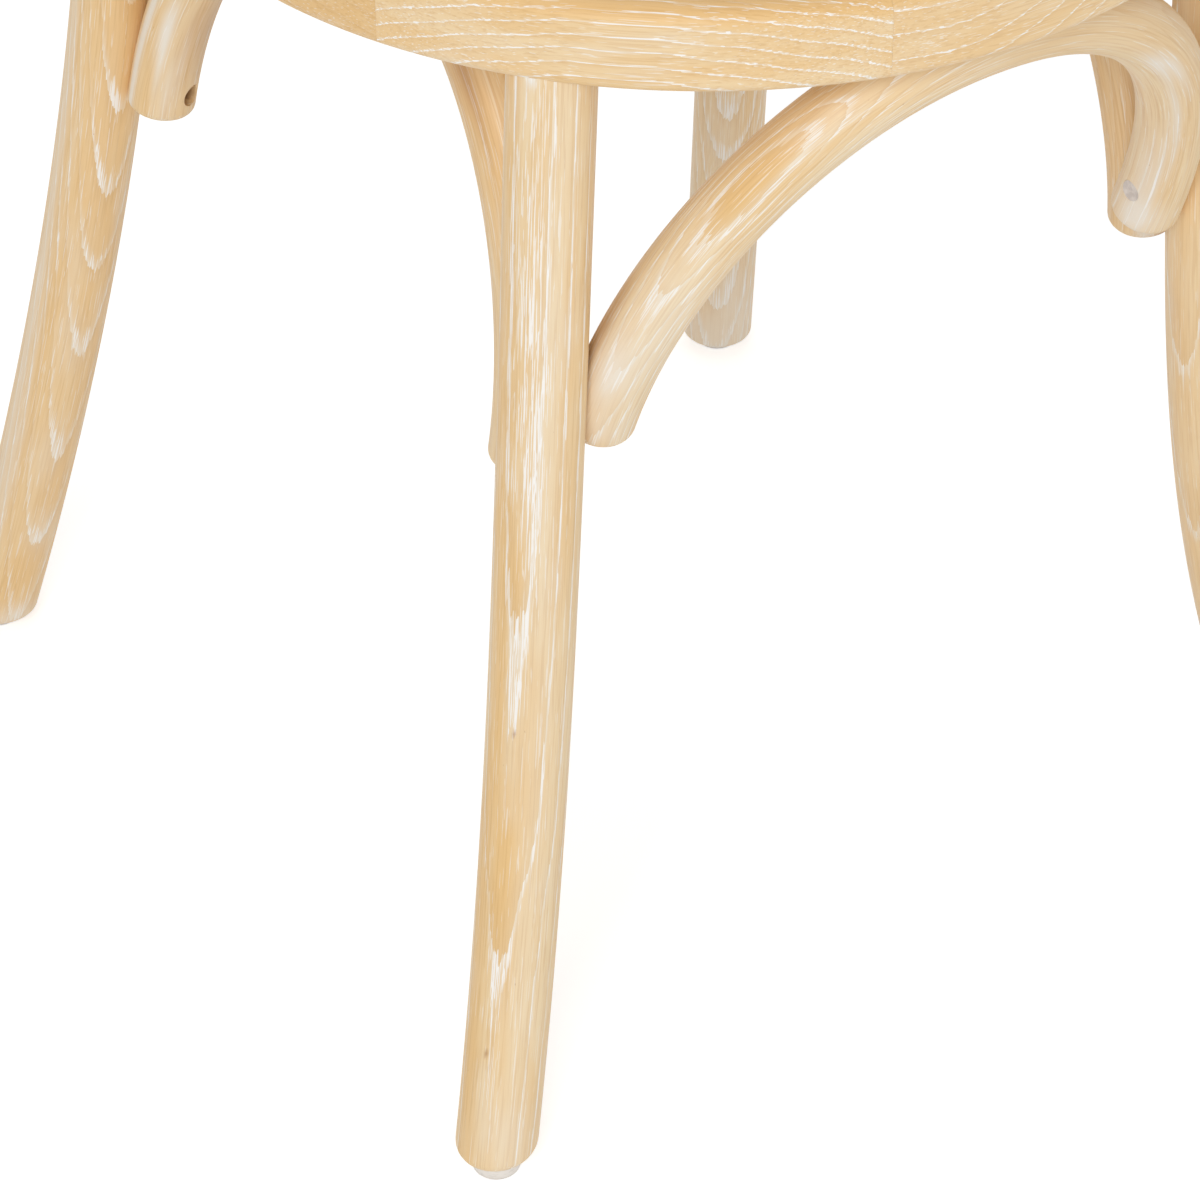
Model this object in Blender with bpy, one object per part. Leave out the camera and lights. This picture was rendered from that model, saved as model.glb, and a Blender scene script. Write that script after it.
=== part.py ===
"""Bentwood bistro chair: jointed seat ring, woven seat, two front legs, a bent back hoop that
runs down into both rear legs, an X of two bent slats and four arched braces under the seat.

Units are metres and +Z is up.  The chair faces -Y.  Left and right are as seen from the front.
Sizes below are in the seat's own frame, whose Z axis runs through the middle of the round seat;
one empty then moves the whole chair so that its box stands centred on the origin.
"""
import math

import bmesh
import bpy
import numpy as np
from mathutils import Vector

# Seat ring
SEAT_RADIUS = 0.1985
SEAT_UNDERSIDE = 0.4332
RING_THICKNESS = 0.030
RING_TOP_ROUND = 0.007
RING_BOTTOM_ROUND = 0.004
OPENING_RADIUS = 0.150
LEDGE_RADIUS = 0.108
REBATE_DEPTH = 0.011
FRONT_JOINT_ANGLE = 16.6
SIDE_JOINT_ANGLE = 65.7
REAR_SEGMENTS = 5
JOINT_TENON_LENGTH = 0.026
JOINT_TENON_WIDTH = 0.024
JOINT_TENON_THICKNESS = 0.008
JOINT_TENON_INSET = 0.0252

# Woven seat panel and the spline that holds it down
PANEL_THICKNESS = 0.0065
PANEL_DISH = 0.002
SPLINE_WIDTH = 0.0055
SPLINE_PROUD = 0.0008

# Front legs
FRONT_LEG_DIAMETER = 0.030
FRONT_LEG_X = 0.1382
FRONT_LEG_Y = 0.1191
FRONT_LEAN_X = 0.0171
FRONT_LEAN_Y = 0.0005
FRONT_KICK_X = 0.0360
FRONT_KICK_Y = 0.0364
FRONT_KICK_POWER = 3.85
LEG_TENON_DIAMETER = 0.020
LEG_TENON_LENGTH = 0.018

# Back hoop, which runs down into the rear legs
HOOP_DIAMETER = 0.0305
REAR_LEG_X = 0.1379
REAR_LEG_Y = 0.1615
REAR_SWEEP_X = 0.0454
REAR_SWEEP_Y = 0.0782
REAR_SWEEP_POWER = 1.55
HOOP_HALF_WIDTH = 0.205
HOOP_WIDEST_HEIGHT = 0.700
HOOP_TOP_HEIGHT = 0.870
HOOP_ARCH_POWER = 2.2
BACK_RAKE = 0.105
BACK_RAKE_POWER = 1.4

# Feet
LEG_END_ROUND = 0.0035
GLIDE_DIAMETER = 0.0177
FRONT_GLIDE_HEIGHT = 0.008
REAR_GLIDE_HEIGHT = 0.005
GLIDE_EDGE = 0.0012
GLIDE_NAIL_DIAMETER = 0.003
GLIDE_NAIL_LENGTH = 0.010

# Arched braces
BRACE_DIAMETER = 0.0255
BRACE_END_ROUND = 0.004
BRACE_COVE = 0.0012
FRONT_BRACE_END_HEIGHT = 0.2815
SIDE_BRACE_FRONT_HEIGHT = 0.2607
SIDE_BRACE_REAR_HEIGHT = 0.2752
REAR_BRACE_END_HEIGHT = 0.2815
FRONT_BRACE_DIRECTION = 9.8
SIDE_BRACE_FRONT_DIRECTION = 67.6
SIDE_BRACE_REAR_DIRECTION = -65.0
REAR_BRACE_DIRECTION = -4.0
FRONT_BRACE_TILT = 0.0523
SIDE_BRACE_TILT = -0.0171
REAR_BRACE_TILT = -0.018
BRACE_ARCH_POWER = 2.09
SIDE_BRACE_ARCH_POWER = 1.96
SIDE_BRACE_SKEW = -0.054
COVE_BELOW = 0.03
COVE_ABOVE = 0.10

# Cross slats
SLAT_WIDTH = 0.030
SLAT_THICKNESS = 0.009
SLAT_EDGE = 0.002
SLAT_FOOT_HEIGHT = 0.505
SLAT_HEAD_HEIGHT = 0.820
SLAT_FOOT_PULL_X = 0.100
SLAT_FOOT_PULL_HEIGHT = 0.600
SLAT_HEAD_PULL_HEIGHT = 0.725
SLAT_MORTISE_DEPTH = 0.010
SLAT_CROSSING_GAP = 0.00025

# Fasteners
SCREW_HEAD_DIAMETER = 0.0075
SCREW_HEAD_HEIGHT = 0.003
SCREW_SHANK_DIAMETER = 0.0038
SCREW_BITE = 0.012
SCREW_SINK = 0.009
SCREW_SETBACK = 0.017
SIDE_SCREW_SETBACK = 0.0085
BOLT_HEAD_DIAMETER = 0.0115
BOLT_HEAD_HEIGHT = 0.003
BOLT_SHANK_DIAMETER = 0.006
BOLT_BITE = 0.038
BOLT_SINK = 0.0085
PLUG_THICKNESS = 0.004
PLUG_RECESS = 0.0009

# Fit and fineness
CLEARANCE = 0.0003
LEG_SIDES = 16
BRACE_SIDES = 12
TUBE_STEP = 0.030
PATH_SAMPLES = 400
TURN_SIDES = 10
PANEL_SIDES = 40
ARC_STEPS = 6

# Derived sizes
SEAT_TOP = SEAT_UNDERSIDE + RING_THICKNESS
JOINT_TENON_RADIUS = SEAT_RADIUS - JOINT_TENON_INSET
LEDGE_HEIGHT = SEAT_TOP - REBATE_DEPTH
PANEL_BOTTOM = LEDGE_HEIGHT + CLEARANCE
PANEL_TOP = PANEL_BOTTOM + PANEL_THICKNESS
FRONT_LEG_RADIUS = FRONT_LEG_DIAMETER / 2
HOOP_RADIUS = HOOP_DIAMETER / 2
BRACE_RADIUS = BRACE_DIAMETER / 2
BRACE_APEX = SEAT_UNDERSIDE - CLEARANCE - BRACE_RADIUS
BACKMOST = REAR_LEG_Y + BACK_RAKE + HOOP_RADIUS
WIDEST_SEGMENT = max(2 * FRONT_JOINT_ANGLE, SIDE_JOINT_ANGLE - FRONT_JOINT_ANGLE)
PANEL_RADIUS = OPENING_RADIUS * math.cos(math.radians(WIDEST_SEGMENT / ARC_STEPS / 2)) - CLEARANCE
BOX_CENTRE_Y = (BACKMOST - SEAT_RADIUS) / 2
SIDES = {"left": -1, "right": 1}

WOOD = ("limewashed_wood", (0.82, 0.64, 0.42), 0.62, 0.0)
CANE = ("woven_cane", (0.78, 0.60, 0.36), 0.70, 0.0)
PLASTIC = ("white_plastic", (0.80, 0.78, 0.74), 0.45, 0.0)
STEEL = ("zinc_steel", (0.56, 0.55, 0.53), 0.38, 1.0)


def clear_scene():
    """Remove whatever the file opened with."""
    for item in list(bpy.data.objects):
        bpy.data.objects.remove(item, do_unlink=True)


def finish_material(finish):
    """The Principled material of a finish, made once."""
    name, colour, roughness, metallic = finish
    material = bpy.data.materials.get(name)
    if material is None:
        material = bpy.data.materials.new(name)
        material.use_nodes = True
        shader = material.node_tree.nodes["Principled BSDF"]
        shader.inputs["Base Color"].default_value = (*colour, 1.0)
        shader.inputs["Roughness"].default_value = roughness
        shader.inputs["Metallic"].default_value = metallic
    return material


def add_object(name, bm, finish, parent, smooth_angle=35.0):
    """Turn a bmesh into a named object with its material, smooth where its faces meet gently."""
    bmesh.ops.recalc_face_normals(bm, faces=bm.faces)
    mesh = bpy.data.meshes.new(name)
    bm.to_mesh(mesh)
    bm.free()
    mesh.shade_smooth()
    mesh.set_sharp_from_angle(angle=math.radians(smooth_angle))
    item = bpy.data.objects.new(name, mesh)
    bpy.context.scene.collection.objects.link(item)
    item.parent = parent
    if finish is not None:
        mesh.materials.append(finish_material(finish))
    return item


def hide_cutter(item):
    """Show a cutter as wire only and keep it out of the model."""
    item.hide_render = True
    item.display_type = "WIRE"
    return item


def cut(item, *cutters):
    """Take each cutter's solid away from the item."""
    for cutter in cutters:
        modifier = item.modifiers.new(f"cut_{cutter.name}"[:60], "BOOLEAN")
        modifier.operation = "DIFFERENCE"
        modifier.solver = "EXACT"
        modifier.object = cutter


def loft(rings):
    """Closed solid through rings of equal point count, capped at both ends."""
    bm = bmesh.new()
    loops = [[bm.verts.new(point) for point in ring] for ring in rings]
    count = len(loops[0])
    for lower, upper in zip(loops, loops[1:]):
        for i in range(count):
            j = (i + 1) % count
            bm.faces.new((lower[i], lower[j], upper[j], upper[i]))
    bm.faces.new(list(reversed(loops[0])))
    bm.faces.new(loops[-1])
    return bm


def turned(profile, sides=TURN_SIDES, closed=False):
    """Solid turned about Z from (radius, height) points; closed profiles make a ring."""
    bm = bmesh.new()
    verts = [bm.verts.new((radius, 0.0, height)) for radius, height in profile]
    pairs = list(zip(verts, verts[1:]))
    if closed:
        pairs.append((verts[-1], verts[0]))
    edges = [bm.edges.new(pair) for pair in pairs]
    bmesh.ops.spin(bm, geom=verts + edges, cent=(0, 0, 0), axis=(0, 0, 1), dvec=(0, 0, 0),
                   angle=math.tau, steps=sides, use_merge=True, use_duplicate=False)
    bmesh.ops.remove_doubles(bm, verts=bm.verts, dist=0.00001)
    return bm


def place(item, location, direction=(0, 0, 1)):
    """Put the item's origin at a place and turn its +Z axis along a direction."""
    item.location = Vector(location)
    item.rotation_euler = Vector(direction).to_track_quat("Z", "Y").to_euler()
    return item


def resample(points, step):
    """Points of a dense curve spaced evenly, about one step apart."""
    points = np.asarray(points)
    lengths = np.linalg.norm(np.diff(points, axis=0), axis=1)
    travelled = np.concatenate(([0.0], np.cumsum(lengths)))
    count = max(3, int(round(travelled[-1] / step)) + 1)
    stops = np.linspace(0.0, travelled[-1], count)
    return np.column_stack([np.interp(stops, travelled, points[:, k]) for k in range(3)])


def frames(points, reference):
    """Tangent, width and depth directions along a curve; depth follows the reference."""
    tangents = np.gradient(points, axis=0)
    tangents /= np.linalg.norm(tangents, axis=1)[:, None]
    reference = np.broadcast_to(reference, points.shape)
    along = np.sum(tangents * reference, axis=1)[:, None]
    depth = reference - along * tangents
    depth /= np.linalg.norm(depth, axis=1)[:, None]
    width = np.cross(depth, tangents)
    return tangents, width, depth


def round_rings(points, radii, sides, reference, levels=None):
    """Round sections along a curve.  A ring with a level is cut flat at that height."""
    tangents, width, depth = frames(points, np.asarray(reference, dtype=float))
    turns = np.arange(sides) * math.tau / sides
    rings = []
    for i, point in enumerate(points):
        spread = np.outer(np.cos(turns), width[i]) + np.outer(np.sin(turns), depth[i])
        ring = point + radii[i] * spread
        if levels is not None and levels[i] is not None:
            ring -= np.outer((ring[:, 2] - levels[i]) / tangents[i, 2], tangents[i])
        rings.append(ring)
    return rings


def end_rounding(points, radius, rounding, at_start=True, at_end=True):
    """Extra points and radii that round off the ends of a tube."""
    points = [np.array(point) for point in points]
    radii = [radius] * len(points)
    shape = ((0.0, rounding), (0.3 * rounding, 0.3 * rounding), (rounding, 0.0))

    def cap(first, second):
        along = (second - first) / np.linalg.norm(second - first)
        return [(first + along * inset, radius - shrink) for inset, shrink in shape]

    if at_start:
        start = cap(points[0], points[1])
        points[:1] = [point for point, _ in start]
        radii[:1] = [size for _, size in start]
    if at_end:
        end = cap(points[-1], points[-2])[::-1]
        points[-1:] = [point for point, _ in end]
        radii[-1:] = [size for _, size in end]
    return np.array(points), radii


def front_leg_centre(side, height):
    """Centre of a front leg at a height: a straight lean and a kick near the foot."""
    drop = (SEAT_UNDERSIDE - height) / SEAT_UNDERSIDE
    kick = max(drop, 0.0) ** FRONT_KICK_POWER
    x = FRONT_LEG_X + FRONT_LEAN_X * drop + FRONT_KICK_X * kick
    y = FRONT_LEG_Y + FRONT_LEAN_Y * drop + FRONT_KICK_Y * kick
    return np.array((side * x, -y, height))


def rear_leg_centre(side, height):
    """Centre of a rear leg at a height under the seat: a sabre sweep out and back."""
    drop = max((SEAT_UNDERSIDE - height) / SEAT_UNDERSIDE, 0.0)
    sweep = drop ** REAR_SWEEP_POWER
    return np.array((side * (REAR_LEG_X + REAR_SWEEP_X * sweep),
                     REAR_LEG_Y + REAR_SWEEP_Y * sweep, height))


def back_depth(height):
    """Y of the raked back's middle surface at a height above the seat."""
    rise = max((height - SEAT_UNDERSIDE) / (HOOP_TOP_HEIGHT - SEAT_UNDERSIDE), 0.0)
    return REAR_LEG_Y + BACK_RAKE * rise ** BACK_RAKE_POWER


def back_normal(height):
    """Unit normal of the raked back's middle surface at a height, pointing rearward."""
    slope = (back_depth(height + 0.001) - back_depth(height - 0.001)) / 0.002
    return np.array((0.0, 1.0, -slope)) / math.hypot(1.0, slope)


def hoop_half_width(height):
    """Half width of the hoop at a height above the seat, up to its arch."""
    if height <= HOOP_WIDEST_HEIGHT:
        share = (height - SEAT_UNDERSIDE) / (HOOP_WIDEST_HEIGHT - SEAT_UNDERSIDE)
        return REAR_LEG_X + (HOOP_HALF_WIDTH - REAR_LEG_X) * (1 - math.cos(math.pi * share)) / 2
    share = (height - HOOP_WIDEST_HEIGHT) / (HOOP_TOP_HEIGHT - HOOP_WIDEST_HEIGHT)
    return HOOP_HALF_WIDTH * (1 - share ** HOOP_ARCH_POWER) ** (1 / HOOP_ARCH_POWER)


def hoop_side_points(side):
    """Dense centreline of one half of the hoop, from the foot to the middle of the arch."""
    foot = REAR_GLIDE_HEIGHT + CLEARANCE
    points = [rear_leg_centre(side, z) for z in np.linspace(foot, SEAT_UNDERSIDE, PATH_SAMPLES)]
    for z in np.linspace(SEAT_UNDERSIDE, HOOP_WIDEST_HEIGHT, PATH_SAMPLES)[1:]:
        points.append((side * hoop_half_width(z), back_depth(z), z))
    for turn in np.linspace(0.0, math.pi / 2, PATH_SAMPLES)[1:]:
        x = HOOP_HALF_WIDTH * abs(math.cos(turn)) ** (2 / HOOP_ARCH_POWER)
        rise = math.sin(turn) ** (2 / HOOP_ARCH_POWER)
        z = HOOP_WIDEST_HEIGHT + (HOOP_TOP_HEIGHT - HOOP_WIDEST_HEIGHT) * rise
        points.append((side * x, back_depth(z), z))
    return np.array(points)


def leg_clearance(name, centre, side, radius, low, high, parent):
    """Cutter that follows a stretch of a leg, one clearance wider than it."""
    heights = np.linspace(low, high, 9)
    points = np.array([centre(side, z) for z in heights])
    outer = radius + 1.6 * CLEARANCE
    bm = loft(round_rings(points, [outer] * len(points), LEG_SIDES, (0, 1, 0)))
    return hide_cutter(add_object(name, bm, None, parent))


def drill(name, location, direction, parent, *steps):
    """Round cutter along a direction, from (radius, start, end) steps that share an axis."""
    profile = [(0.0, steps[0][1])]
    for radius, start, end in steps:
        outer = radius / math.cos(math.pi / TURN_SIDES)
        profile += [(outer, start), (outer, end)]
    profile.append((0.0, steps[-1][2]))
    bm = turned(profile)
    return hide_cutter(place(add_object(name, bm, None, parent), location, direction))


def foot_levels(points, indices):
    """Heights at which the rings of a foot are cut level with the floor."""
    levels = [None] * len(points)
    for index in indices:
        levels[index] = points[index][2]
    return levels


def make_front_leg(word, parent):
    """Front leg: a round stick with a kicked foot and a turned tenon for the seat ring."""
    side = SIDES[word]
    foot = FRONT_GLIDE_HEIGHT + CLEARANCE
    shoulder = SEAT_UNDERSIDE - CLEARANCE
    dense = [front_leg_centre(side, z) for z in np.linspace(foot, shoulder, PATH_SAMPLES)]
    points, radii = end_rounding(resample(dense, TUBE_STEP), FRONT_LEG_RADIUS, LEG_END_ROUND,
                                 at_end=False)
    rings = round_rings(points, radii, LEG_SIDES, (0, 1, 0), foot_levels(points, (0, 1, 2)))
    top = front_leg_centre(side, SEAT_UNDERSIDE)
    turns = np.arange(LEG_SIDES) * math.tau / LEG_SIDES
    rim = np.column_stack((np.cos(turns), np.sin(turns), np.zeros(LEG_SIDES)))
    rings[-1][:, 2] = shoulder
    chamfer = LEG_TENON_DIAMETER / 10
    tenon = LEG_TENON_DIAMETER / 2
    for radius, height in ((tenon, shoulder), (tenon, shoulder + LEG_TENON_LENGTH - chamfer),
                           (tenon - chamfer, shoulder + LEG_TENON_LENGTH)):
        rings.append(np.array((top[0], top[1], height)) + radius * rim)
    return add_object(f"front_leg_{word}", loft(rings), WOOD, parent)


def make_hoop(parent):
    """Back hoop and both rear legs, bent from one round stick."""
    left = hoop_side_points(-1)
    dense = np.vstack((left, hoop_side_points(1)[::-1][1:]))
    points, radii = end_rounding(resample(dense, TUBE_STEP), HOOP_RADIUS, LEG_END_ROUND)
    levels = foot_levels(points, (0, 1, 2, -3, -2, -1))
    rings = round_rings(points, radii, LEG_SIDES, (0, 1, 0), levels)
    return add_object("back_hoop", loft(rings), WOOD, parent)


def make_glide(word, end, centre, parent):
    """Nail-on glide: a plastic disc whose nail goes up into the leg."""
    radius = GLIDE_DIAMETER / 2
    nail = GLIDE_NAIL_DIAMETER / 2
    height = FRONT_GLIDE_HEIGHT if end == "front" else REAR_GLIDE_HEIGHT
    profile = ((0.0, 0.0), (radius - GLIDE_EDGE, 0.0), (radius, GLIDE_EDGE),
               (radius, height - GLIDE_EDGE), (radius - GLIDE_EDGE, height),
               (nail, height), (nail, height + GLIDE_NAIL_LENGTH),
               (0.0, height + GLIDE_NAIL_LENGTH))
    glide = add_object(f"glide_{end}_{word}", turned(profile, sides=16), PLASTIC, parent)
    spot = centre(SIDES[word], height)
    place(glide, (spot[0], spot[1], 0.0))
    reach = height + GLIDE_NAIL_LENGTH + CLEARANCE
    return drill(f"cut_nail_{end}_{word}", (spot[0], spot[1], 0.0), (0, 0, 1), parent,
                 (nail + CLEARANCE, 0.0, reach))


def ring_profile():
    """(radius, height) outline of the seat ring: rounded rim and a rebate for the panel."""
    outline = [(LEDGE_RADIUS, SEAT_UNDERSIDE)]
    for turn in (-90.0, -45.0, 0.0):
        angle = math.radians(turn)
        outline.append((SEAT_RADIUS - RING_BOTTOM_ROUND * (1 - math.cos(angle)),
                        SEAT_UNDERSIDE + RING_BOTTOM_ROUND * (1 + math.sin(angle))))
    for turn in (0.0, 30.0, 60.0, 90.0):
        angle = math.radians(turn)
        outline.append((SEAT_RADIUS - RING_TOP_ROUND * (1 - math.cos(angle)),
                        SEAT_TOP - RING_TOP_ROUND * (1 - math.sin(angle))))
    outline += [(OPENING_RADIUS, SEAT_TOP), (OPENING_RADIUS, LEDGE_HEIGHT),
                (LEDGE_RADIUS, LEDGE_HEIGHT)]
    return outline


def ring_joint_angles():
    """Angles of the ring's joints from +X, anticlockwise from the front segment's start."""
    front = 270.0
    joints = [front - FRONT_JOINT_ANGLE, front + FRONT_JOINT_ANGLE, front + SIDE_JOINT_ANGLE]
    rear_span = 360.0 - 2 * SIDE_JOINT_ANGLE
    for k in range(1, REAR_SEGMENTS + 1):
        joints.append(front + SIDE_JOINT_ANGLE + rear_span * k / REAR_SEGMENTS)
    joints.append(joints[0] + 360.0)
    return joints


def make_ring_segment(number, start, end, cutters, parent):
    """One segment of the seat ring between two joint angles, with half a gap at each end."""
    profile = ring_profile()
    first, last = math.radians(start), math.radians(end)
    rings = []
    for step in range(ARC_STEPS + 1):
        share = step / ARC_STEPS
        ring = []
        for radius, height in profile:
            inset = math.asin(CLEARANCE / 2 / radius)
            angle = (first + inset) * (1 - share) + (last - inset) * share
            ring.append((radius * math.cos(angle), radius * math.sin(angle), height))
        rings.append(ring)
    segment = add_object(f"seat_ring_segment_{number}", loft(rings), WOOD, parent)
    cut(segment, *cutters)
    return segment


def make_joint_tenon(number, angle, parent):
    """Loose tenon inside a joint of the ring, and the cutter for its two pockets."""
    turn = math.radians(angle)
    height = SEAT_UNDERSIDE + RING_THICKNESS / 2
    pieces = []
    for name, grow in ((f"ring_tenon_{number}", 0.0), (f"cut_pocket_{number}", 2 * CLEARANCE)):
        bm = bmesh.new()
        bmesh.ops.create_cube(bm, size=1.0)
        sizes = (JOINT_TENON_WIDTH + grow, JOINT_TENON_LENGTH + grow,
                 JOINT_TENON_THICKNESS + grow)
        bmesh.ops.scale(bm, vec=sizes, verts=bm.verts)
        piece = add_object(name, bm, None if grow else WOOD, parent)
        piece.location = (JOINT_TENON_RADIUS * math.cos(turn),
                          JOINT_TENON_RADIUS * math.sin(turn), height)
        piece.rotation_euler = (0.0, 0.0, turn)
        pieces.append(piece)
    return hide_cutter(pieces[1])


def make_panel(parent):
    """Woven seat panel, dished a little in the middle, and the spline over its edge."""
    edge = PANEL_RADIUS
    free = LEDGE_RADIUS - 4 * PANEL_DISH
    profile = ((0.0, PANEL_BOTTOM - PANEL_DISH), (free / 2, PANEL_BOTTOM - 0.7 * PANEL_DISH),
               (free, PANEL_BOTTOM), (edge, PANEL_BOTTOM), (edge, PANEL_TOP),
               (edge - SPLINE_WIDTH, PANEL_TOP), (free, PANEL_TOP - 0.25 * PANEL_DISH),
               (free / 2, PANEL_TOP - 0.8 * PANEL_DISH), (0.0, PANEL_TOP - PANEL_DISH))
    add_object("seat_panel", turned(profile, PANEL_SIDES), CANE, parent)
    low = PANEL_TOP + CLEARANCE
    high = SEAT_TOP + SPLINE_PROUD
    inner = edge - SPLINE_WIDTH
    shoulder = low + 0.6 * (high - low)
    section = ((inner, low), (edge, low), (edge, shoulder), (edge - 0.25 * SPLINE_WIDTH, high),
               (inner + 0.25 * SPLINE_WIDTH, high), (inner, shoulder))
    add_object("seat_spline", turned(section, PANEL_SIDES, closed=True), CANE, parent)


def brace_plan():
    """Each brace: its two ends, each with leg, height and direction, and how its arch runs.

    The arch is the tilt of its top, its power and the share by which its top is skewed."""
    front, rear = front_leg_centre, rear_leg_centre
    plan = [("front", (front, "left", FRONT_BRACE_END_HEIGHT, FRONT_BRACE_DIRECTION),
             (front, "right", FRONT_BRACE_END_HEIGHT, FRONT_BRACE_DIRECTION),
             ((0.0, -FRONT_BRACE_TILT), BRACE_ARCH_POWER, 0.0)),
            ("rear", (rear, "left", REAR_BRACE_END_HEIGHT, REAR_BRACE_DIRECTION),
             (rear, "right", REAR_BRACE_END_HEIGHT, REAR_BRACE_DIRECTION),
             ((0.0, REAR_BRACE_TILT), BRACE_ARCH_POWER, 0.0))]
    for word, side in SIDES.items():
        plan.append((word, (front, word, SIDE_BRACE_FRONT_HEIGHT, SIDE_BRACE_FRONT_DIRECTION),
                     (rear, word, SIDE_BRACE_REAR_HEIGHT, SIDE_BRACE_REAR_DIRECTION),
                     ((side * SIDE_BRACE_TILT, 0.0), SIDE_BRACE_ARCH_POWER,
                      SIDE_BRACE_SKEW)))
    return plan


def leg_radius(centre):
    """Radius of the leg that a centreline function describes."""
    return FRONT_LEG_RADIUS if centre is front_leg_centre else HOOP_RADIUS


def inward(word, degrees):
    """Unit direction away from a leg, given for the left side and mirrored on the right."""
    angle = math.radians(degrees)
    return np.array((-SIDES[word] * math.cos(angle), math.sin(angle), 0.0))


def brace_end(end):
    """Centre of a brace's end, which beds in a shallow cove against its leg."""
    centre, word, height, degrees = end
    offset = leg_radius(centre) + CLEARANCE + BRACE_RADIUS - BRACE_COVE
    return centre(SIDES[word], height) + offset * inward(word, degrees)


def brace_curve(first, second, arch):
    """Half-ellipse-like arch between two brace ends, its top under the seat ring."""
    start, finish = brace_end(first), brace_end(second)
    tilt, power, skew = arch
    points = []
    for turn in np.linspace(math.pi, 0.0, PATH_SAMPLES):
        along = math.copysign(abs(math.cos(turn)) ** (2 / power), math.cos(turn))
        rise = max(math.sin(turn), 0.0) ** (2 / power)
        point = start + (finish - start) * (along + 1) / 2
        point[2] += (BRACE_APEX - point[2]) * rise
        point[:2] += (np.array(tilt) + skew * (finish - start)[:2]) * rise
        points.append(point)
    return np.array(points)


def screw(name, seat, direction, length, parent):
    """Wood screw whose head rests at the seat and whose shank runs along the direction."""
    head, shank = SCREW_HEAD_DIAMETER / 2, SCREW_SHANK_DIAMETER / 2
    profile = ((0.0, -SCREW_HEAD_HEIGHT), (0.7 * head, -SCREW_HEAD_HEIGHT),
               (head, -0.5 * SCREW_HEAD_HEIGHT), (head, -CLEARANCE), (shank, -CLEARANCE),
               (shank, length - shank), (0.3 * shank, length))
    item = add_object(name, turned(profile + ((0.0, length),)), STEEL, parent)
    return place(item, seat, direction)


def make_brace(name, first, second, arch, parent):
    """One arched brace with its end screws and its seat screw.

    Returns the cutters for the legs and for the ring as {piece: [cutters]}."""
    dense = brace_curve(first, second, arch)
    points, radii = end_rounding(resample(dense, TUBE_STEP / 2 ** 0.5), BRACE_RADIUS,
                                 BRACE_END_ROUND)
    reference = np.array((*arch[0], 0.0))
    reference /= np.linalg.norm(reference)
    rings = round_rings(points, radii, BRACE_SIDES, reference)
    brace = add_object(f"brace_{name}", loft(rings), WOOD, parent)
    head, shank = SCREW_HEAD_DIAMETER / 2 + CLEARANCE, SCREW_SHANK_DIAMETER / 2 + CLEARANCE
    setback = SCREW_SETBACK if name in ("front", "rear") else SIDE_SCREW_SETBACK
    wanted = {}
    for end, order in ((first, 1), (second, -1)):
        centre, word, height, degrees = end
        spot = next(p for p in dense[::order] if p[2] >= height + setback)
        leg = centre(SIDES[word], spot[2])
        drive = (leg - spot) / np.linalg.norm(leg - spot)
        seat = spot - drive * (BRACE_RADIUS - SCREW_SINK)
        length = np.linalg.norm(leg - seat) - leg_radius(centre) + SCREW_BITE
        where = word if name in ("front", "rear") else ("front" if order == 1 else "rear")
        label = f"brace_{name}_screw_{where}"
        screw(label, seat, drive, length, parent)
        hole = drill(f"cut_{label}", seat, drive, parent, (head, -2 * SCREW_SINK, 0.0),
                     (shank, 0.0, length + CLEARANCE))
        cove = leg_clearance(f"cut_cove_{name}_{where}", centre, SIDES[word],
                             leg_radius(centre), height - COVE_BELOW, height + COVE_ABOVE, parent)
        cut(brace, cove, hole)
        piece = "back_hoop" if centre is rear_leg_centre else f"front_leg_{word}"
        wanted.setdefault(piece, []).append(hole)
    top = max(dense, key=lambda point: point[2])
    seat = top - np.array((0.0, 0.0, BRACE_RADIUS - SCREW_SINK))
    length = SEAT_UNDERSIDE - seat[2] + SCREW_BITE
    label = f"brace_{name}_seat_screw"
    screw(label, seat, (0, 0, 1), length, parent)
    hole = drill(f"cut_{label}", seat, (0, 0, 1), parent, (head, -2 * SCREW_SINK, 0.0),
                 (shank, 0.0, length + CLEARANCE))
    cut(brace, hole)
    wanted.setdefault("ring", []).append(hole)
    return wanted


def make_seat_bolt(word, parent):
    """Bolt through a rear leg into the ring, under a wooden plug; returns its cutter."""
    height = SEAT_UNDERSIDE + RING_THICKNESS / 2
    leg = np.array((SIDES[word] * REAR_LEG_X, back_depth(height), height))
    drive = -np.array((leg[0], leg[1], 0.0))
    drive /= np.linalg.norm(drive)
    seat = leg - drive * (HOOP_RADIUS - BOLT_SINK)
    head, shank = BOLT_HEAD_DIAMETER / 2, BOLT_SHANK_DIAMETER / 2
    length = (HOOP_RADIUS - BOLT_SINK) + HOOP_RADIUS + BOLT_BITE
    profile = ((0.0, -BOLT_HEAD_HEIGHT), (head, -BOLT_HEAD_HEIGHT), (head, -CLEARANCE),
               (shank, -CLEARANCE), (shank, length - shank), (0.4 * shank, length),
               (0.0, length))
    place(add_object(f"seat_bolt_{word}", turned(profile), STEEL, parent), seat, drive)
    outer = -(BOLT_SINK - PLUG_RECESS)
    inner = min(outer + PLUG_THICKNESS, -BOLT_HEAD_HEIGHT - CLEARANCE)
    plug = ((0.0, outer), (head, outer), (head, inner), (0.0, inner))
    place(add_object(f"bolt_plug_{word}", turned(plug), WOOD, parent), seat, drive)
    return drill(f"cut_seat_bolt_{word}", seat, drive, parent,
                 (head + CLEARANCE, -2 * BOLT_SINK, 0.0),
                 (shank + CLEARANCE, 0.0, length + CLEARANCE))


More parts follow.
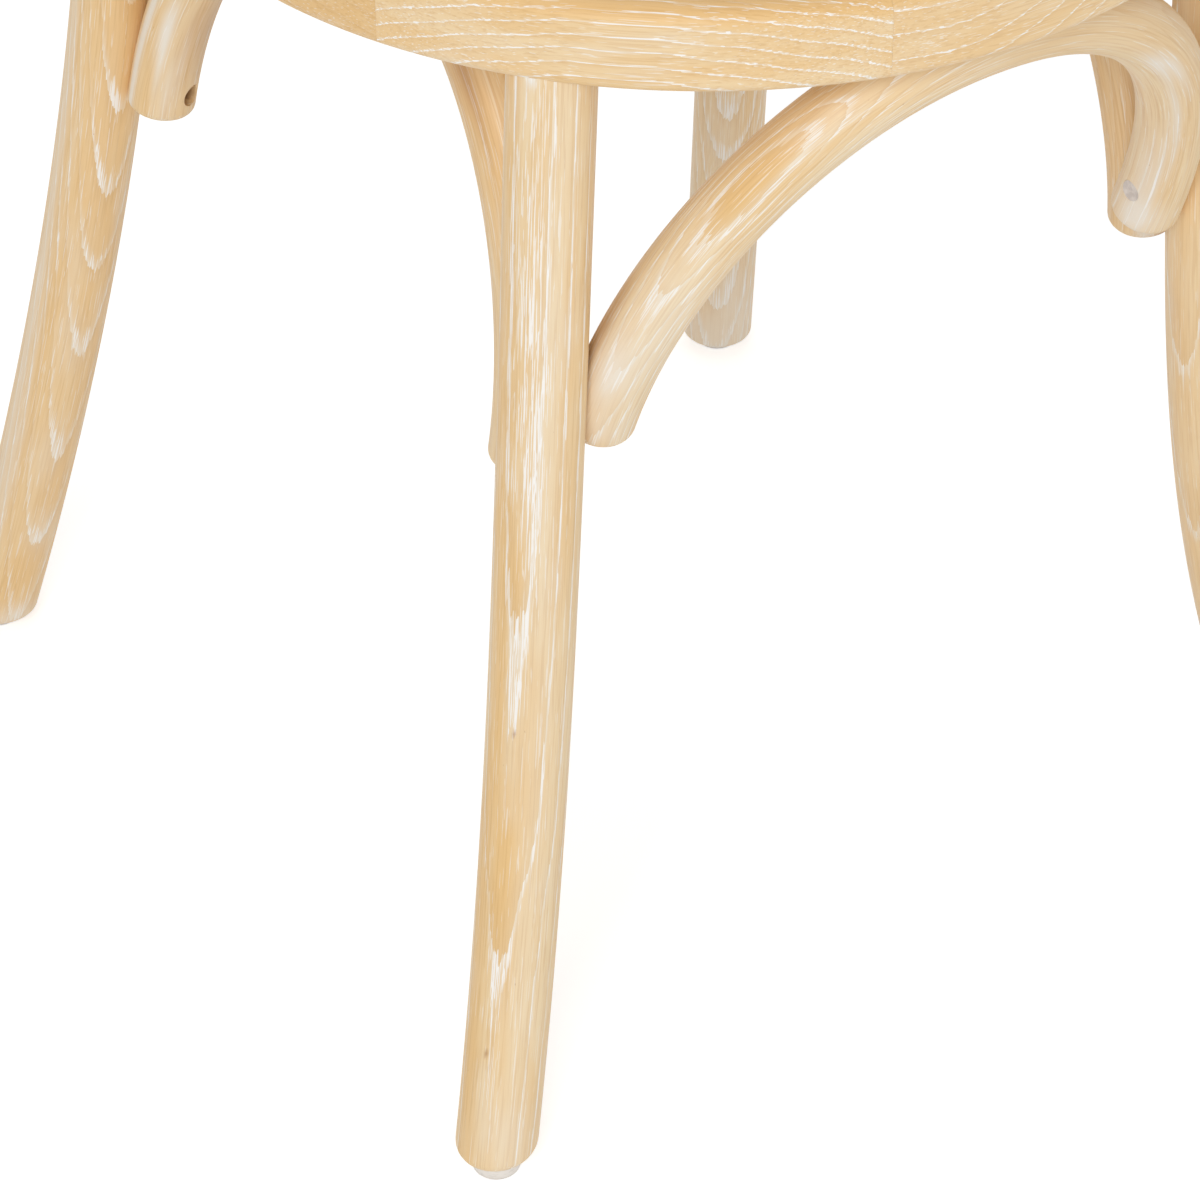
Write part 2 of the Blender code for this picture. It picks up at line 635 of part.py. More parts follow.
def slat_curve(mirror):
    """Centreline of a cross slat in the back's surface, foot to head, as a cubic curve."""
    foot = hoop_half_width(SLAT_FOOT_HEIGHT)
    head = hoop_half_width(SLAT_HEAD_HEIGHT)
    head_pull = (foot + 3 * SLAT_FOOT_PULL_X - head) / 3
    controls = ((-foot, SLAT_FOOT_HEIGHT), (-SLAT_FOOT_PULL_X, SLAT_FOOT_PULL_HEIGHT),
                (head_pull, SLAT_HEAD_PULL_HEIGHT), (head, SLAT_HEAD_HEIGHT))
    points = []
    for share in np.linspace(0.0, 1.0, PATH_SAMPLES):
        weights = ((1 - share) ** 3, 3 * share * (1 - share) ** 2,
                   3 * share ** 2 * (1 - share), share ** 3)
        x = sum(weight * control[0] for weight, control in zip(weights, controls))
        z = sum(weight * control[1] for weight, control in zip(weights, controls))
        step = (SLAT_THICKNESS / 2 + SLAT_CROSSING_GAP) * (1 - abs(2 * share - 1) ** 3)
        surface = np.array((mirror * x, back_depth(z), z))
        points.append(surface + mirror * step * back_normal(z))
    points = np.array(points)
    travelled = np.concatenate(([0.0], np.cumsum(np.linalg.norm(np.diff(points, axis=0),
                                                                axis=1))))
    inset = HOOP_RADIUS - SLAT_MORTISE_DEPTH
    keep = (travelled >= inset) & (travelled <= travelled[-1] - inset)
    return points[keep]


def slat_rings(points, grow):
    """Flat sections with eased edges along a slat, grown by a clearance for its cutter."""
    _, width, depth = frames(points, np.array([back_normal(z) for z in points[:, 2]]))
    half_width = SLAT_WIDTH / 2 + grow
    half_depth = SLAT_THICKNESS / 2 + grow
    ease = SLAT_EDGE
    corners = ((half_width, half_depth - ease), (half_width - ease, half_depth),
               (ease - half_width, half_depth), (-half_width, half_depth - ease),
               (-half_width, ease - half_depth), (ease - half_width, -half_depth),
               (half_width - ease, -half_depth), (half_width, ease - half_depth))
    return [[point + across * width[i] + through * depth[i] for across, through in corners]
            for i, point in enumerate(points)]


def make_slats(parent):
    """Two bent slats that cross in an X and are pinned where they meet; returns cutters."""
    cutters = []
    slats = []
    for name, mirror in (("front", -1), ("rear", 1)):
        dense = slat_curve(mirror)
        points = resample(dense, TUBE_STEP)
        slats.append(add_object(f"cross_slat_{name}", loft(slat_rings(points, 0.0)), WOOD,
                                parent))
        longer = points.copy()
        longer[0] += (points[0] - points[1]) / np.linalg.norm(points[0] - points[1]) * CLEARANCE
        longer[-1] += ((points[-1] - points[-2]) / np.linalg.norm(points[-1] - points[-2])
                       * CLEARANCE)
        cutter = add_object(f"cut_slat_{name}", loft(slat_rings(longer, CLEARANCE)), None,
                            parent)
        cutters.append(hide_cutter(cutter))
    middle = slat_curve(-1)
    front = middle[np.argmin(np.abs(middle[:, 0]))]
    drive = back_normal(front[2])
    seat = front - drive * (SLAT_THICKNESS / 2 - SCREW_HEAD_HEIGHT)
    length = 2 * SLAT_THICKNESS - SCREW_HEAD_HEIGHT - SLAT_EDGE
    screw("cross_slat_screw", seat, drive, length, parent)
    head, shank = SCREW_HEAD_DIAMETER / 2 + CLEARANCE, SCREW_SHANK_DIAMETER / 2 + CLEARANCE
    hole = drill("cut_cross_slat_screw", seat, drive, parent,
                 (head, -2 * SCREW_HEAD_HEIGHT, 0.0), (shank, 0.0, length + CLEARANCE))
    for slat in slats:
        cut(slat, hole)
    return cutters


def build_chair():
    """Build every piece in the seat's frame under one empty that centres the chair."""
    clear_scene()
    chair = bpy.data.objects.new("bistro_chair", None)
    bpy.context.scene.collection.objects.link(chair)
    chair.location = (0.0, -BOX_CENTRE_Y, 0.0)

    wanted = {"ring": [], "back_hoop": []}
    for name, first, second, arch in brace_plan():
        for piece, cutters in make_brace(name, first, second, arch, chair).items():
            wanted.setdefault(piece, []).extend(cutters)

    for word, side in SIDES.items():
        nail = make_glide(word, "front", front_leg_centre, chair)
        leg = make_front_leg(word, chair)
        cut(leg, nail, *wanted[f"front_leg_{word}"])
        wanted["back_hoop"].append(make_glide(word, "rear", rear_leg_centre, chair))
        bolt = make_seat_bolt(word, chair)
        wanted["back_hoop"].append(bolt)
        saddle = leg_clearance(f"cut_saddle_{word}", lambda s, z: np.array(
            (s * hoop_half_width(z), back_depth(z), z)) if z > SEAT_UNDERSIDE
            else rear_leg_centre(s, z), side, HOOP_RADIUS, SEAT_UNDERSIDE - 0.02,
            SEAT_TOP + 0.02, chair)
        top = front_leg_centre(side, SEAT_UNDERSIDE)
        mortise = drill(f"cut_mortise_{word}", (top[0], top[1], SEAT_UNDERSIDE), (0, 0, 1),
                        chair, (LEG_TENON_DIAMETER / 2 + CLEARANCE, -LEG_TENON_LENGTH,
                                LEG_TENON_LENGTH + CLEARANCE))
        wanted["ring"] += [bolt, saddle, mortise]

    wanted["back_hoop"] += make_slats(chair)
    cut(make_hoop(chair), *wanted["back_hoop"])

    joints = ring_joint_angles()
    pockets = [make_joint_tenon(number + 1, angle, chair)
               for number, angle in enumerate(joints[:-1])]
    for number, (start, end) in enumerate(zip(joints, joints[1:])):
        cutters = [pockets[number], pockets[(number + 1) % len(pockets)]]
        for cutter in wanted["ring"]:
            angle = math.degrees(math.atan2(cutter.location.y, cutter.location.x)) % 360.0
            if cutter.name.startswith("cut_saddle"):
                side = -1 if cutter.name.endswith("left") else 1
                angle = math.degrees(math.atan2(REAR_LEG_Y, side * REAR_LEG_X)) % 360.0
            if (angle - start) % 360.0 < end - start:
                cutters.append(cutter)
        make_ring_segment(number + 1, start, end, cutters, chair)
    make_panel(chair)


build_chair()
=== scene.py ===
"""Looks of a bentwood bistro chair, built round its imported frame.

The chair is limewashed ash: bent round sticks for the legs, hoop and arches, a seat ring
jointed from sawn segments, a hand-woven cane panel, plastic glides and zinc-plated screws.
Lengths are metres.  The chair faces -Y, and left and right are as seen from the front.
"""

import logging
import math
from dataclasses import dataclass, field
from enum import Enum
from typing import Any, Optional, Sequence

import bpy
import numpy as np
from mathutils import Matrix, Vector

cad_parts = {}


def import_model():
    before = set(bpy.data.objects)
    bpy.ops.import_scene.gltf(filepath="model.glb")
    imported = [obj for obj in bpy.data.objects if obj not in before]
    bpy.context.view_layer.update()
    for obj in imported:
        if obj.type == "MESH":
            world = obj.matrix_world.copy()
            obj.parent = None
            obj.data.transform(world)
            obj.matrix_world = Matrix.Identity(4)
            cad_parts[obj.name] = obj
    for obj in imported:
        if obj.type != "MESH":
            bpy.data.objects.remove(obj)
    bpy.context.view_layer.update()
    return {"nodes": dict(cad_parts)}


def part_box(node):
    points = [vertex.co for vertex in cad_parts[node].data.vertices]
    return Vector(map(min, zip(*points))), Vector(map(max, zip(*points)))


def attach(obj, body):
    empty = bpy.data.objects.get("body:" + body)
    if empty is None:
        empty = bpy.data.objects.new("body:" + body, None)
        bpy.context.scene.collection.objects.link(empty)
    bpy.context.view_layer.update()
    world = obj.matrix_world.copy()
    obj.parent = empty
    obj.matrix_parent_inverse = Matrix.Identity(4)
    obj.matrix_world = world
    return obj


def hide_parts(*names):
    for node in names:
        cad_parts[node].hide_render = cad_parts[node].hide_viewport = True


Array = np.ndarray
Triple = tuple[float, float, float]
Material = bpy.types.Material
Piece = bpy.types.Object
Socket = bpy.types.NodeSocket
Tree = bpy.types.NodeTree
LOG = logging.getLogger("bistro_chair")
ROOT = "root"
MM = 0.001
UP = np.array((0.0, 0.0, 1.0))
REARWARD = (0.0, 1.0, 0.0)
WHITE = (1.0, 1.0, 1.0, 1.0)
SEED_SHIFT = np.array((0.137, 0.071, 0.533))


class Side(Enum):
    """Left or right as seen from the front, with its sign along X."""

    LEFT = -1
    RIGHT = 1

    @property
    def word(self) -> str:
        """The side's name as the nodes write it."""
        return self.name.lower()


class Pith(Enum):
    """Where the heart of the tree lies from a stick, seen from its figured face."""

    BEHIND = 1
    IN_FRONT = -1


def to_linear(code: str) -> tuple[float, float, float, float]:
    """Turn an sRGB hex colour into the linear colour that a socket takes.

    Args:
        code: Colour as "#rrggbb".

    Returns:
        Linear red, green and blue with an alpha of 1.
    """
    parts = [int(code[i:i + 2], 16) / 255 for i in (1, 3, 5)]
    line = [c / 12.92 if c <= 0.04045 else ((c + 0.055) / 1.055) ** 2.4 for c in parts]
    return (line[0], line[1], line[2], 1.0)


def wire(tree: Tree, node: bpy.types.Node, inputs: Any) -> None:
    """Set or link a node's inputs.

    Args:
        tree: The node's tree.
        node: The node.
        inputs: Value or socket for each input, in order, or by name or index in a dict.
    """
    for key, value in inputs.items() if isinstance(inputs, dict) else enumerate(inputs):
        if isinstance(value, Socket):
            tree.links.new(value, node.inputs[key])
        else:
            node.inputs[key].default_value = value


def add(tree: Tree, kind: str, inputs: Any = (), out: Any = 0, **settings: Any) -> Socket:
    """Add a shader node with its settings and links.

    Args:
        tree: Node tree to add to.
        kind: Node type without its ShaderNode prefix.
        inputs: Value or socket for each input, in order, or by name or index in a dict.
        out: Name or index of the output to hand back.
        settings: Attributes of the node, such as a Math node's operation.

    Returns:
        The chosen output.
    """
    node = tree.nodes.new(f"ShaderNode{kind}")
    for key, value in settings.items():
        setattr(node, key, value)
    wire(tree, node, inputs)
    return node.outputs[out]


def grains(tree: Tree, vector: Socket, size: Triple, detail: float = 2.0,
           place: Triple = (0.0, 0.0, 0.0)) -> Socket:
    """Scale space so that a noise has grains of a real size along each axis.

    Args:
        tree: Node tree to add to.
        vector: Coordinates in metres.
        size: Size of a grain along X, Y and Z in mm.
        detail: Octaves of finer noise.
        place: Shift of the pattern in metres, so that two layers differ.

    Returns:
        A value about 0.5.
    """
    metres = [s * MM for s in size]
    moved = add(tree, "Mapping", {"Vector": vector, "Scale": [1 / s for s in metres],
                                  "Location": [p / s for p, s in zip(place, metres)]})
    return add(tree, "TexNoise", {"Vector": moved, "Scale": 1.0, "Detail": detail,
                                  "Roughness": 0.55})


def layers(tree: Tree, base: str, *coats: tuple[Any, str]) -> Socket:
    """Lay coats of colour over a base, one after the other.

    Args:
        tree: Node tree to add to.
        base: Colour underneath.
        coats: How much each coat covers, and its colour.

    Returns:
        The colour on top.
    """
    colour = to_linear(base)
    for share, code in coats:
        colour = add(tree, "Mix", {0: share, 6: colour, 7: to_linear(code)}, 2,
                     data_type="RGBA")
    return colour


def new_material(name: str) -> Material:
    """Start a material with one Principled shader."""
    material = bpy.data.materials.new(name)
    material.use_nodes = True
    return material


def shaded(material: Material, inputs: dict[str, Any]) -> Material:
    """Give a material's shader its inputs and hand the material back."""
    wire(material.node_tree, material.node_tree.nodes["Principled BSDF"], inputs)
    return material


@dataclass(frozen=True)
class LimewashedAsh:
    """Ash, brushed open, rubbed with white lime and sealed with a satin lacquer.

    Each year's ring starts with a zone of large pores that take the lime, so the figure
    shows as bundles of crisp white streaks on even honey wood.  The attributes rub and film
    add what the hand did: how much lime stayed in the pores, how golden the wood is, how
    soiled it is and where a thin film of lime was left.  The soil also carries painted shade
    in creases under the seat and inside screw holes.

    Grains are in mm across, deep and along the stick.  Real pores are about 0.2 mm wide and
    too fine to show in the render, so they are drawn about twice as coarse.
    """

    pale: str = "#f4ddb3"
    honey: str = "#eeca90"
    late: str = "#d9ad6d"
    gold: str = "#ecc07f"
    lime: str = "#fdfaf5"
    film: str = "#f3eadb"
    soil_and_shade: str = "#99571f"
    fray_grain: Triple = (0.9, 0.9, 22)
    pore_grain: Triple = (0.42, 0.42, 20)
    short_grain: Triple = (0.3, 0.3, 5)
    cloud_grain: Triple = (14, 14, 45)
    drift_grain: Triple = (9, 9, 90)
    hair_grain: Triple = (0.7, 0.7, 30)
    speck_grain: Triple = (0.9, 0.9, 2.6)
    fray: float = 0.24
    porous_fade: tuple[float, float] = (0.14, 0.32)
    early_fade: tuple[float, float] = (0.02, 0.2)
    late_rise: tuple[float, float] = (0.7, 1.0)
    short_share: float = 0.22
    sparse_cut: float = 0.655
    dense_cut: float = 0.49
    pore_rim: float = 0.04
    relief: float = 0.12 * MM

    def build(self) -> Material:
        """Make the material, which reads the attributes that write_grain stores.

        Returns:
            The material.
        """
        material = new_material("limewashed_ash")
        tree = material.node_tree
        stock, growth, rub, left = (
            add(tree, "Attribute", out=out, attribute_name=name) for name, out in
            (("stock", "Vector"), ("growth", "Fac"), ("rub", "Vector"), ("film", "Fac")))
        rubbed, golden, soiled_or_shaded = (add(tree, "SeparateXYZ", (rub,), axis) for axis in "XYZ")

        # The porous zone is the first third of a ring's count, frayed along the grain.
        fray = grains(tree, stock, self.fray_grain, 1.0, (0.01, 0.02, 0.0))
        fray = add(tree, "Math", (fray, 0.5), operation="SUBTRACT")
        ring = add(tree, "Math", (fray, self.fray, growth), operation="MULTIPLY_ADD")
        ring = add(tree, "Math", (ring,), operation="FRACT")
        porous, early, late = (
            add(tree, "MapRange", (ring, *fade), interpolation_type="SMOOTHSTEP")
            for fade in ((*self.porous_fade, 1.0, 0.0), (*self.early_fade, 1.0, 0.0),
                         (*self.late_rise, 0.0, 1.0)))
        open_pores = add(tree, "Math", (rubbed, 1.0), operation="ADD", use_clamp=True)
        zone = add(tree, "Math", (porous, open_pores), operation="MULTIPLY")
        line = add(tree, "Math", (early, zone), operation="MULTIPLY")

        # Pores are long thin dashes: the denser the zone, the more of them show.
        dashes = grains(tree, stock, self.pore_grain, 0.0, (0.003, 0.001, 0.0))
        short = grains(tree, stock, self.short_grain, 0.0, (0.0, 0.004, 0.0))
        dashes = add(tree, "Math", (dashes, 1 - self.short_share), operation="MULTIPLY")
        dashes = add(tree, "Math", (short, self.short_share, dashes), operation="MULTIPLY_ADD")
        cloud = grains(tree, stock, self.cloud_grain, 2.0, (0.3, 0.1, 0.2))
        cloud = add(tree, "Math", (cloud, 0.5), operation="SUBTRACT")
        dense = add(tree, "Math", (cloud, 0.4), operation="MULTIPLY")
        dense = add(tree, "Math", (zone, 0.95, dense), operation="MULTIPLY_ADD")
        extra = add(tree, "Math", (rubbed, 0.0), operation="MAXIMUM")
        dense = add(tree, "Math", (extra, 0.9, dense), operation="MULTIPLY_ADD", use_clamp=True)
        cut = add(tree, "Math", (dense, self.dense_cut - self.sparse_cut, self.sparse_cut),
                  operation="MULTIPLY_ADD")
        full = add(tree, "Math", (cut, self.pore_rim), operation="ADD")
        pores = add(tree, "MapRange", (dashes, cut, full), interpolation_type="SMOOTHSTEP")
        solid = add(tree, "Math", (dense, 0.55, 0.42), operation="MULTIPLY_ADD", use_clamp=True)
        pores = add(tree, "Math", (pores, solid), operation="MULTIPLY")

        # Honey wood with darker summer bands, fine hairs and soft drifts of tone.
        drift = grains(tree, stock, self.drift_grain, 3.0, (0.5, 0.2, 0.1))
        drift = add(tree, "MapRange", (drift, 0.3, 0.7), interpolation_type="SMOOTHSTEP")
        tone = add(tree, "Math", (golden, 0.5, drift), operation="MULTIPLY_ADD", use_clamp=True)
        deep = add(tree, "Math", (golden, 0.8), operation="MULTIPLY", use_clamp=True)
        summer = add(tree, "Math", (late, 0.3), operation="MULTIPLY")
        hair = grains(tree, stock, self.hair_grain, 2.0, (0.1, 0.6, 0.4))
        hairs = add(tree, "MapRange", (hair, 0.46, 0.7, 0.0, 0.5),
                    interpolation_type="SMOOTHSTEP")

        # Lime also stays as a thin film, in clouds and between the pores.
        film = add(tree, "MapRange", (cloud, 0.0, 0.3, 0.0, 0.18),
                   interpolation_type="SMOOTHSTEP")
        for source, share in ((left, 0.72), (zone, 0.16), (line, 0.42)):
            film = add(tree, "Math", (source, share, film), operation="MULTIPLY_ADD",
                       use_clamp=source is line)
        specks = grains(tree, stock, self.speck_grain, 1.0, (0.7, 0.7, 0.3))
        specks = add(tree, "MapRange", (specks, 0.8, 0.86, 0.0, 0.4),
                     interpolation_type="SMOOTHSTEP")
        # Soil darkens specks and soiled spots, and also stands in as painted shade in creases
        # under the seat and in screw holes.
        soiled_or_shaded = add(tree, "Math", (specks, soiled_or_shaded), operation="MAXIMUM")

        height = add(tree, "Math", (pores, -0.5, hair), operation="MULTIPLY_ADD")
        return shaded(material, {
            "Base Color": layers(tree, self.pale, (tone, self.honey), (deep, self.gold),
                                 (summer, self.late), (hairs, self.late), (film, self.film),
                                 (pores, self.lime), (soiled_or_shaded, self.soil_and_shade)),
            "Roughness": add(tree, "MapRange", (pores, 0.0, 1.0, 0.46, 0.62),
                             interpolation_type="SMOOTHSTEP"),
            "Normal": add(tree, "Bump", {"Strength": 0.3, "Distance": self.relief,
                                         "Height": height}),
            "IOR": 1.5})


@dataclass(frozen=True)
class WovenCane:
    """Peeled cane: smooth, straw coloured, with fine lengthwise fibres and tan blotches."""

    straw: str = "#dfba82"
    tan: str = "#c8995d"
    pale: str = "#efd9ae"
    fibre_grain: Triple = (0.35, 0.35, 30)
    strand_grain: Triple = (6, 6, 400)
    blotch_grain: Triple = (7, 7, 25)
    relief: float = 0.08 * MM

    def build(self) -> Material:
        """Make the material, which reads the attribute stock of a piece.

        Returns:
            The material.
        """
        material = new_material("woven_cane")
        tree = material.node_tree
        stock = add(tree, "Attribute", out="Vector", attribute_name="stock")
        fibre = grains(tree, stock, self.fibre_grain, 3.0)
        strand = grains(tree, stock, self.strand_grain, 0.0, (0.2, 0.4, 0.0))
        blotch = grains(tree, stock, self.blotch_grain, 2.0, (0.6, 0.3, 0.1))
        pale, blotched, fibrous, rough = (
            add(tree, "MapRange", step, interpolation_type="SMOOTHSTEP") for step in
            ((strand, 0.35, 0.65), (blotch, 0.5, 0.75, 0.0, 0.5),
             (fibre, 0.5, 0.72, 0.0, 0.4), (fibre, 0.3, 0.7, 0.36, 0.55)))
        return shaded(material, {
            "Base Color": layers(tree, self.straw, (pale, self.pale), (blotched, self.tan),
                                 (fibrous, self.tan)),
            "Roughness": rough,
            "Normal": add(tree, "Bump", {"Strength": 0.3, "Distance": self.relief,
                                         "Height": fibre})})


@dataclass(frozen=True)
class GlidePlastic:
    """Moulded polyethylene, milky and soft, scuffed grey where it meets the floor."""

    milk: str = "#f1ece6"
    scuff: str = "#cfc6bc"
    scuff_grain: Triple = (2.5, 2.5, 0.8)
    scuffed_height: float = 3 * MM
    glow_depth: float = 2 * MM

    def build(self) -> Material:
        """Make the material, which reads Object coordinates.

        Returns:
            The material.
        """
        material = new_material("white_polyethylene")
        tree = material.node_tree
        place = add(tree, "TexCoord", out="Object")
        scuffs = grains(tree, place, self.scuff_grain, 3.0)
        height = add(tree, "SeparateXYZ", (place,), "Z")
        low, scuffed, rough = (
            add(tree, "MapRange", step, interpolation_type="SMOOTHSTEP") for step in
            ((height, 0.0, self.scuffed_height, 0.5, 0.0), (scuffs, 0.5, 0.75, 0.0, 0.4),
             (scuffs, 0.3, 0.7, 0.35, 0.5)))
        worn = add(tree, "Math", (low, scuffed), operation="ADD", use_clamp=True)
        return shaded(material, {"Base Color": layers(tree, self.milk, (worn, self.scuff)),
                                 "Roughness": rough, "Subsurface Weight": 0.15,
                                 "Subsurface Radius": (self.glow_depth,) * 3})


@dataclass(frozen=True)
class MottledFinish:
    """A plain finish whose two tones drift into each other in soft spots.

    Attributes:
        name: Name of the material.
        tone: Main colour.
        mottle: Colour of the spots.
        grain: Size of a spot in mm.
        rough: Roughness at either end of the noise.
        detail: Octaves of finer noise.
        spread: Levels of noise between which the spots come up.
        metallic: Whether it is bare metal.
        relief: Height of its bumps, or nothing where it is smooth.
    """

    name: str
    tone: str
    mottle: str
    grain: Triple
    rough: tuple[float, float]
    detail: float = 3.0
    spread: tuple[float, float] = (0.35, 0.65)
    metallic: bool = False
    relief: float = 0.0

    def build(self) -> Material:
        """Make the material, which reads Object coordinates.

        Returns:
            The material.
        """
        material = new_material(self.name)
        tree = material.node_tree
        noise = grains(tree, add(tree, "TexCoord", out="Object"), self.grain, self.detail)
        spots = add(tree, "MapRange", (noise, *self.spread), interpolation_type="SMOOTHSTEP")
        rough = self.rough[0]
        if self.rough[0] != self.rough[1]:
            rough = add(tree, "MapRange", (noise, 0.3, 0.7, *self.rough),
                        interpolation_type="SMOOTHSTEP")
        inputs = {"Base Color": layers(tree, self.tone, (spots, self.mottle)),
                  "Roughness": rough, "Metallic": float(self.metallic)}
        if self.relief:
            inputs["Normal"] = add(tree, "Bump", {"Strength": 0.4, "Distance": self.relief,
                                                  "Height": noise})
        return shaded(material, inputs)


# Zinc-plated steel: a grey, slightly mottled, dull metal, its greys darkened as painted shade for
# screws deep in their holes.
ZINC_STEEL = MottledFinish("zinc_plated_steel", "#8d877f", "#6b645b", (1.2, 1.2, 1.2),
                           (0.3, 0.46), metallic=True)
# Lime putty pressed into a screw hole: chalky, pale grey and faintly mottled.
LIME_PUTTY = MottledFinish("lime_putty", "#e4ddd8", "#d0c8c3", (2.5, 2.5, 2.5), (0.8, 0.8),
                           relief=0.2 * MM)
# Plain beech of the tenons inside the seat ring, straight from the saw, with short flecks.
HIDDEN_BEECH = MottledFinish("sawn_beech", "#d9b48a", "#c09468", (0.8, 4, 0.8), (0.7, 0.7),
                             detail=2.0, spread=(0.45, 0.7))


class Look(Enum):
    """A finish: the material slot of the record that it fills, and how it is made."""

    WOOD = ("limewashed_wood", LimewashedAsh())
    CANE = ("woven_cane", WovenCane())
    PLASTIC = ("glide_plastic", GlidePlastic())
    STEEL = ("zinc_steel", ZINC_STEEL)
    BEECH = ("limewashed_wood", HIDDEN_BEECH)
    PUTTY = ("limewashed_wood", LIME_PUTTY)


@dataclass(frozen=True)
class Patch:
    """A soft patch on a stick where the hand left more or less lime, tone or soil; some patches
    of soil are painted shade in creases.

    Attributes:
        length: Place along the stick in mm.
        facing: Angle round the stick in degrees.
        reach: Half its length in mm.
        spread: Half its width in degrees.
        lime: Lime added in the pores, or taken away where it is below zero.
        gold: Golden tone added.
        soil_and_shade: Soil added.
        film: Thin film of lime added.
    """

    length: float
    facing: float
    reach: float
    spread: float
    lime: float = 0.0
    gold: float = 0.0
    # soil: Soil added, and painted shade where the patch sits in a crease.
    soil_and_shade: float = 0.0
    film: float = 0.0

    def rub(self, stock: Array) -> Array:
        """Work out the patch's bell: exp(-(l / reach)^2 - (a / spread)^2).

        Args:
            stock: Points as across, depth and length of the straight stick.

        Returns:
            Lime, golden tone, soil or painted shade, and film that it adds at each point.
        """
        turn = np.degrees(np.arctan2(stock[:, 1], stock[:, 0])) - self.facing
        turn = (turn + 180) % 360 - 180
        along = (stock[:, 2] / MM - self.length) / self.reach
        bell = np.exp(-along ** 2 - (turn / self.spread) ** 2)
        return bell[:, None] * np.array((self.lime, self.gold, self.soil_and_shade, self.film))


@dataclass(frozen=True)
class Saw:
    """How a stick was sawn from the log, which decides the figure on its faces.

    Attributes:
        facing: Angle in degrees, in the stick's section, of the face with the arched figure.
        pith: Which side of that face the heart of the tree lies on.
        distance: From the stick's centre to the heart.
        spacing: Width of one year's ring.
        porous: Width of its zone of large pores.
        climb: Points of length and ring height in mm: how the rings climb along the stick.
        rings: Heights in mm at which rings start, where they aren't evenly spaced.
        waver: How far the rings waver.
        base: Lime, golden tone, soil and film all over.
        patches: Where the hand left more or less, and where shade is painted in as soil.
        seed: Shift of the fine grain, so that no two sticks match.
    """

    facing: float = 0.0
    pith: Pith = Pith.BEHIND
    distance: float = 60 * MM
    spacing: float = 3 * MM
    porous: float = 0.8 * MM
    climb: tuple[tuple[float, float], ...] = ((0, 0), (1000, 60))
    rings: tuple[float, ...] = ()
    waver: float = 0.2 * MM
    base: tuple[float, float, float, float] = (-0.2, 0.1, 0.0, 0.0)
    patches: tuple[Patch, ...] = ()
    seed: int = 0

    def level(self, stock: Array) -> Array:
        """Ring height at each point: the climb less the depth below the figured face.

        The climb is averaged over five places 4 mm apart, and three sines waver it.

        Args:
            stock: Points as across, depth and length of the straight stick.

        Returns:
            Height in metres, whose contours are the growth rings.
        """
        angle = math.radians(self.facing)
        face = np.array((math.cos(angle), math.sin(angle)))
        reach = np.max(stock[:, :2] @ face)
        sign = self.pith.value
        away = np.hypot(*(stock[:, :2] + sign * self.distance * face).T)
        lengths, heights = np.array(self.climb).T * MM
        length = stock[:, 2]
        climb = sum(np.interp(length + shift, lengths, heights)
                    for shift in (-8 * MM, -4 * MM, 0.0, 4 * MM, 8 * MM)) / 5
        round_it = np.arctan2(stock[:, 1], stock[:, 0])
        slow, quick, twisting = 13.1 * MM, 4.7 * MM, 21 * MM
        waver = (np.sin(length / slow + self.seed) + np.sin(length / quick + 2 * self.seed)
                 + np.sin(length / twisting + 2 * round_it + self.seed)) * self.waver / 2
        return climb + sign * (away - self.distance) - reach + waver

    def growth(self, stock: Array) -> Array:
        """Count the rings: 0 to 0.3 over each porous zone, 0.3 to 1 over the rest.

        Args:
            stock: Points as across, depth and length of the straight stick.

        Returns:
            Ring count at each point.
        """
        height = self.pith.value * self.level(stock)
        if self.rings:
            starts = np.sort(self.pith.value * np.array(self.rings)) * MM
        else:
            first, last = height.min() // self.spacing, height.max() // self.spacing
            starts = np.arange(first - 1, last + 3) * self.spacing
        marks = np.column_stack((starts, starts + self.porous)).ravel()
        counts = np.column_stack((np.arange(len(starts)), np.arange(len(starts)) + 0.3)).ravel()
        return np.interp(height, marks, counts)

    def rub(self, stock: Array) -> Array:
        """Lime, golden tone, soil with painted shade, and film at each point: the base and all
        patches.
        """
        return sum((patch.rub(stock) for patch in self.patches),
                   np.broadcast_to(np.array(self.base), (len(stock), 4)))


def mesh_points(piece: Piece) -> Array:
    """Read a piece's points as rows of three."""
    spots = np.empty(len(piece.data.vertices) * 3)
    piece.data.vertices.foreach_get("co", spots)
    return spots.reshape(-1, 3)


def unit(vectors: Array) -> Array:
    """Bring rows of vectors to length 1."""
    return vectors / np.linalg.norm(vectors, axis=1)[:, None]


def square_to(tangents: Array, vectors: Array) -> Array:
    """Make vectors square to tangents, v - (t . v) t, and bring them to length 1."""
    return unit(vectors - np.sum(tangents * vectors, axis=1)[:, None] * tangents)


def smooth_step(share: Array) -> Array:
    """Ease a share from 0 to 1: s^2 (3 - 2 s)."""
    return share * share * (3 - 2 * share)


def signed_power(values: Array, power: float) -> Array:
    """Raise to a power and keep the sign: sign(v) |v|^p."""
    return np.sign(values) * np.abs(values) ** power


def round_turn(count: int) -> Array:
    """Angles of points spaced evenly round a circle."""
    return np.arange(count) * math.tau / count


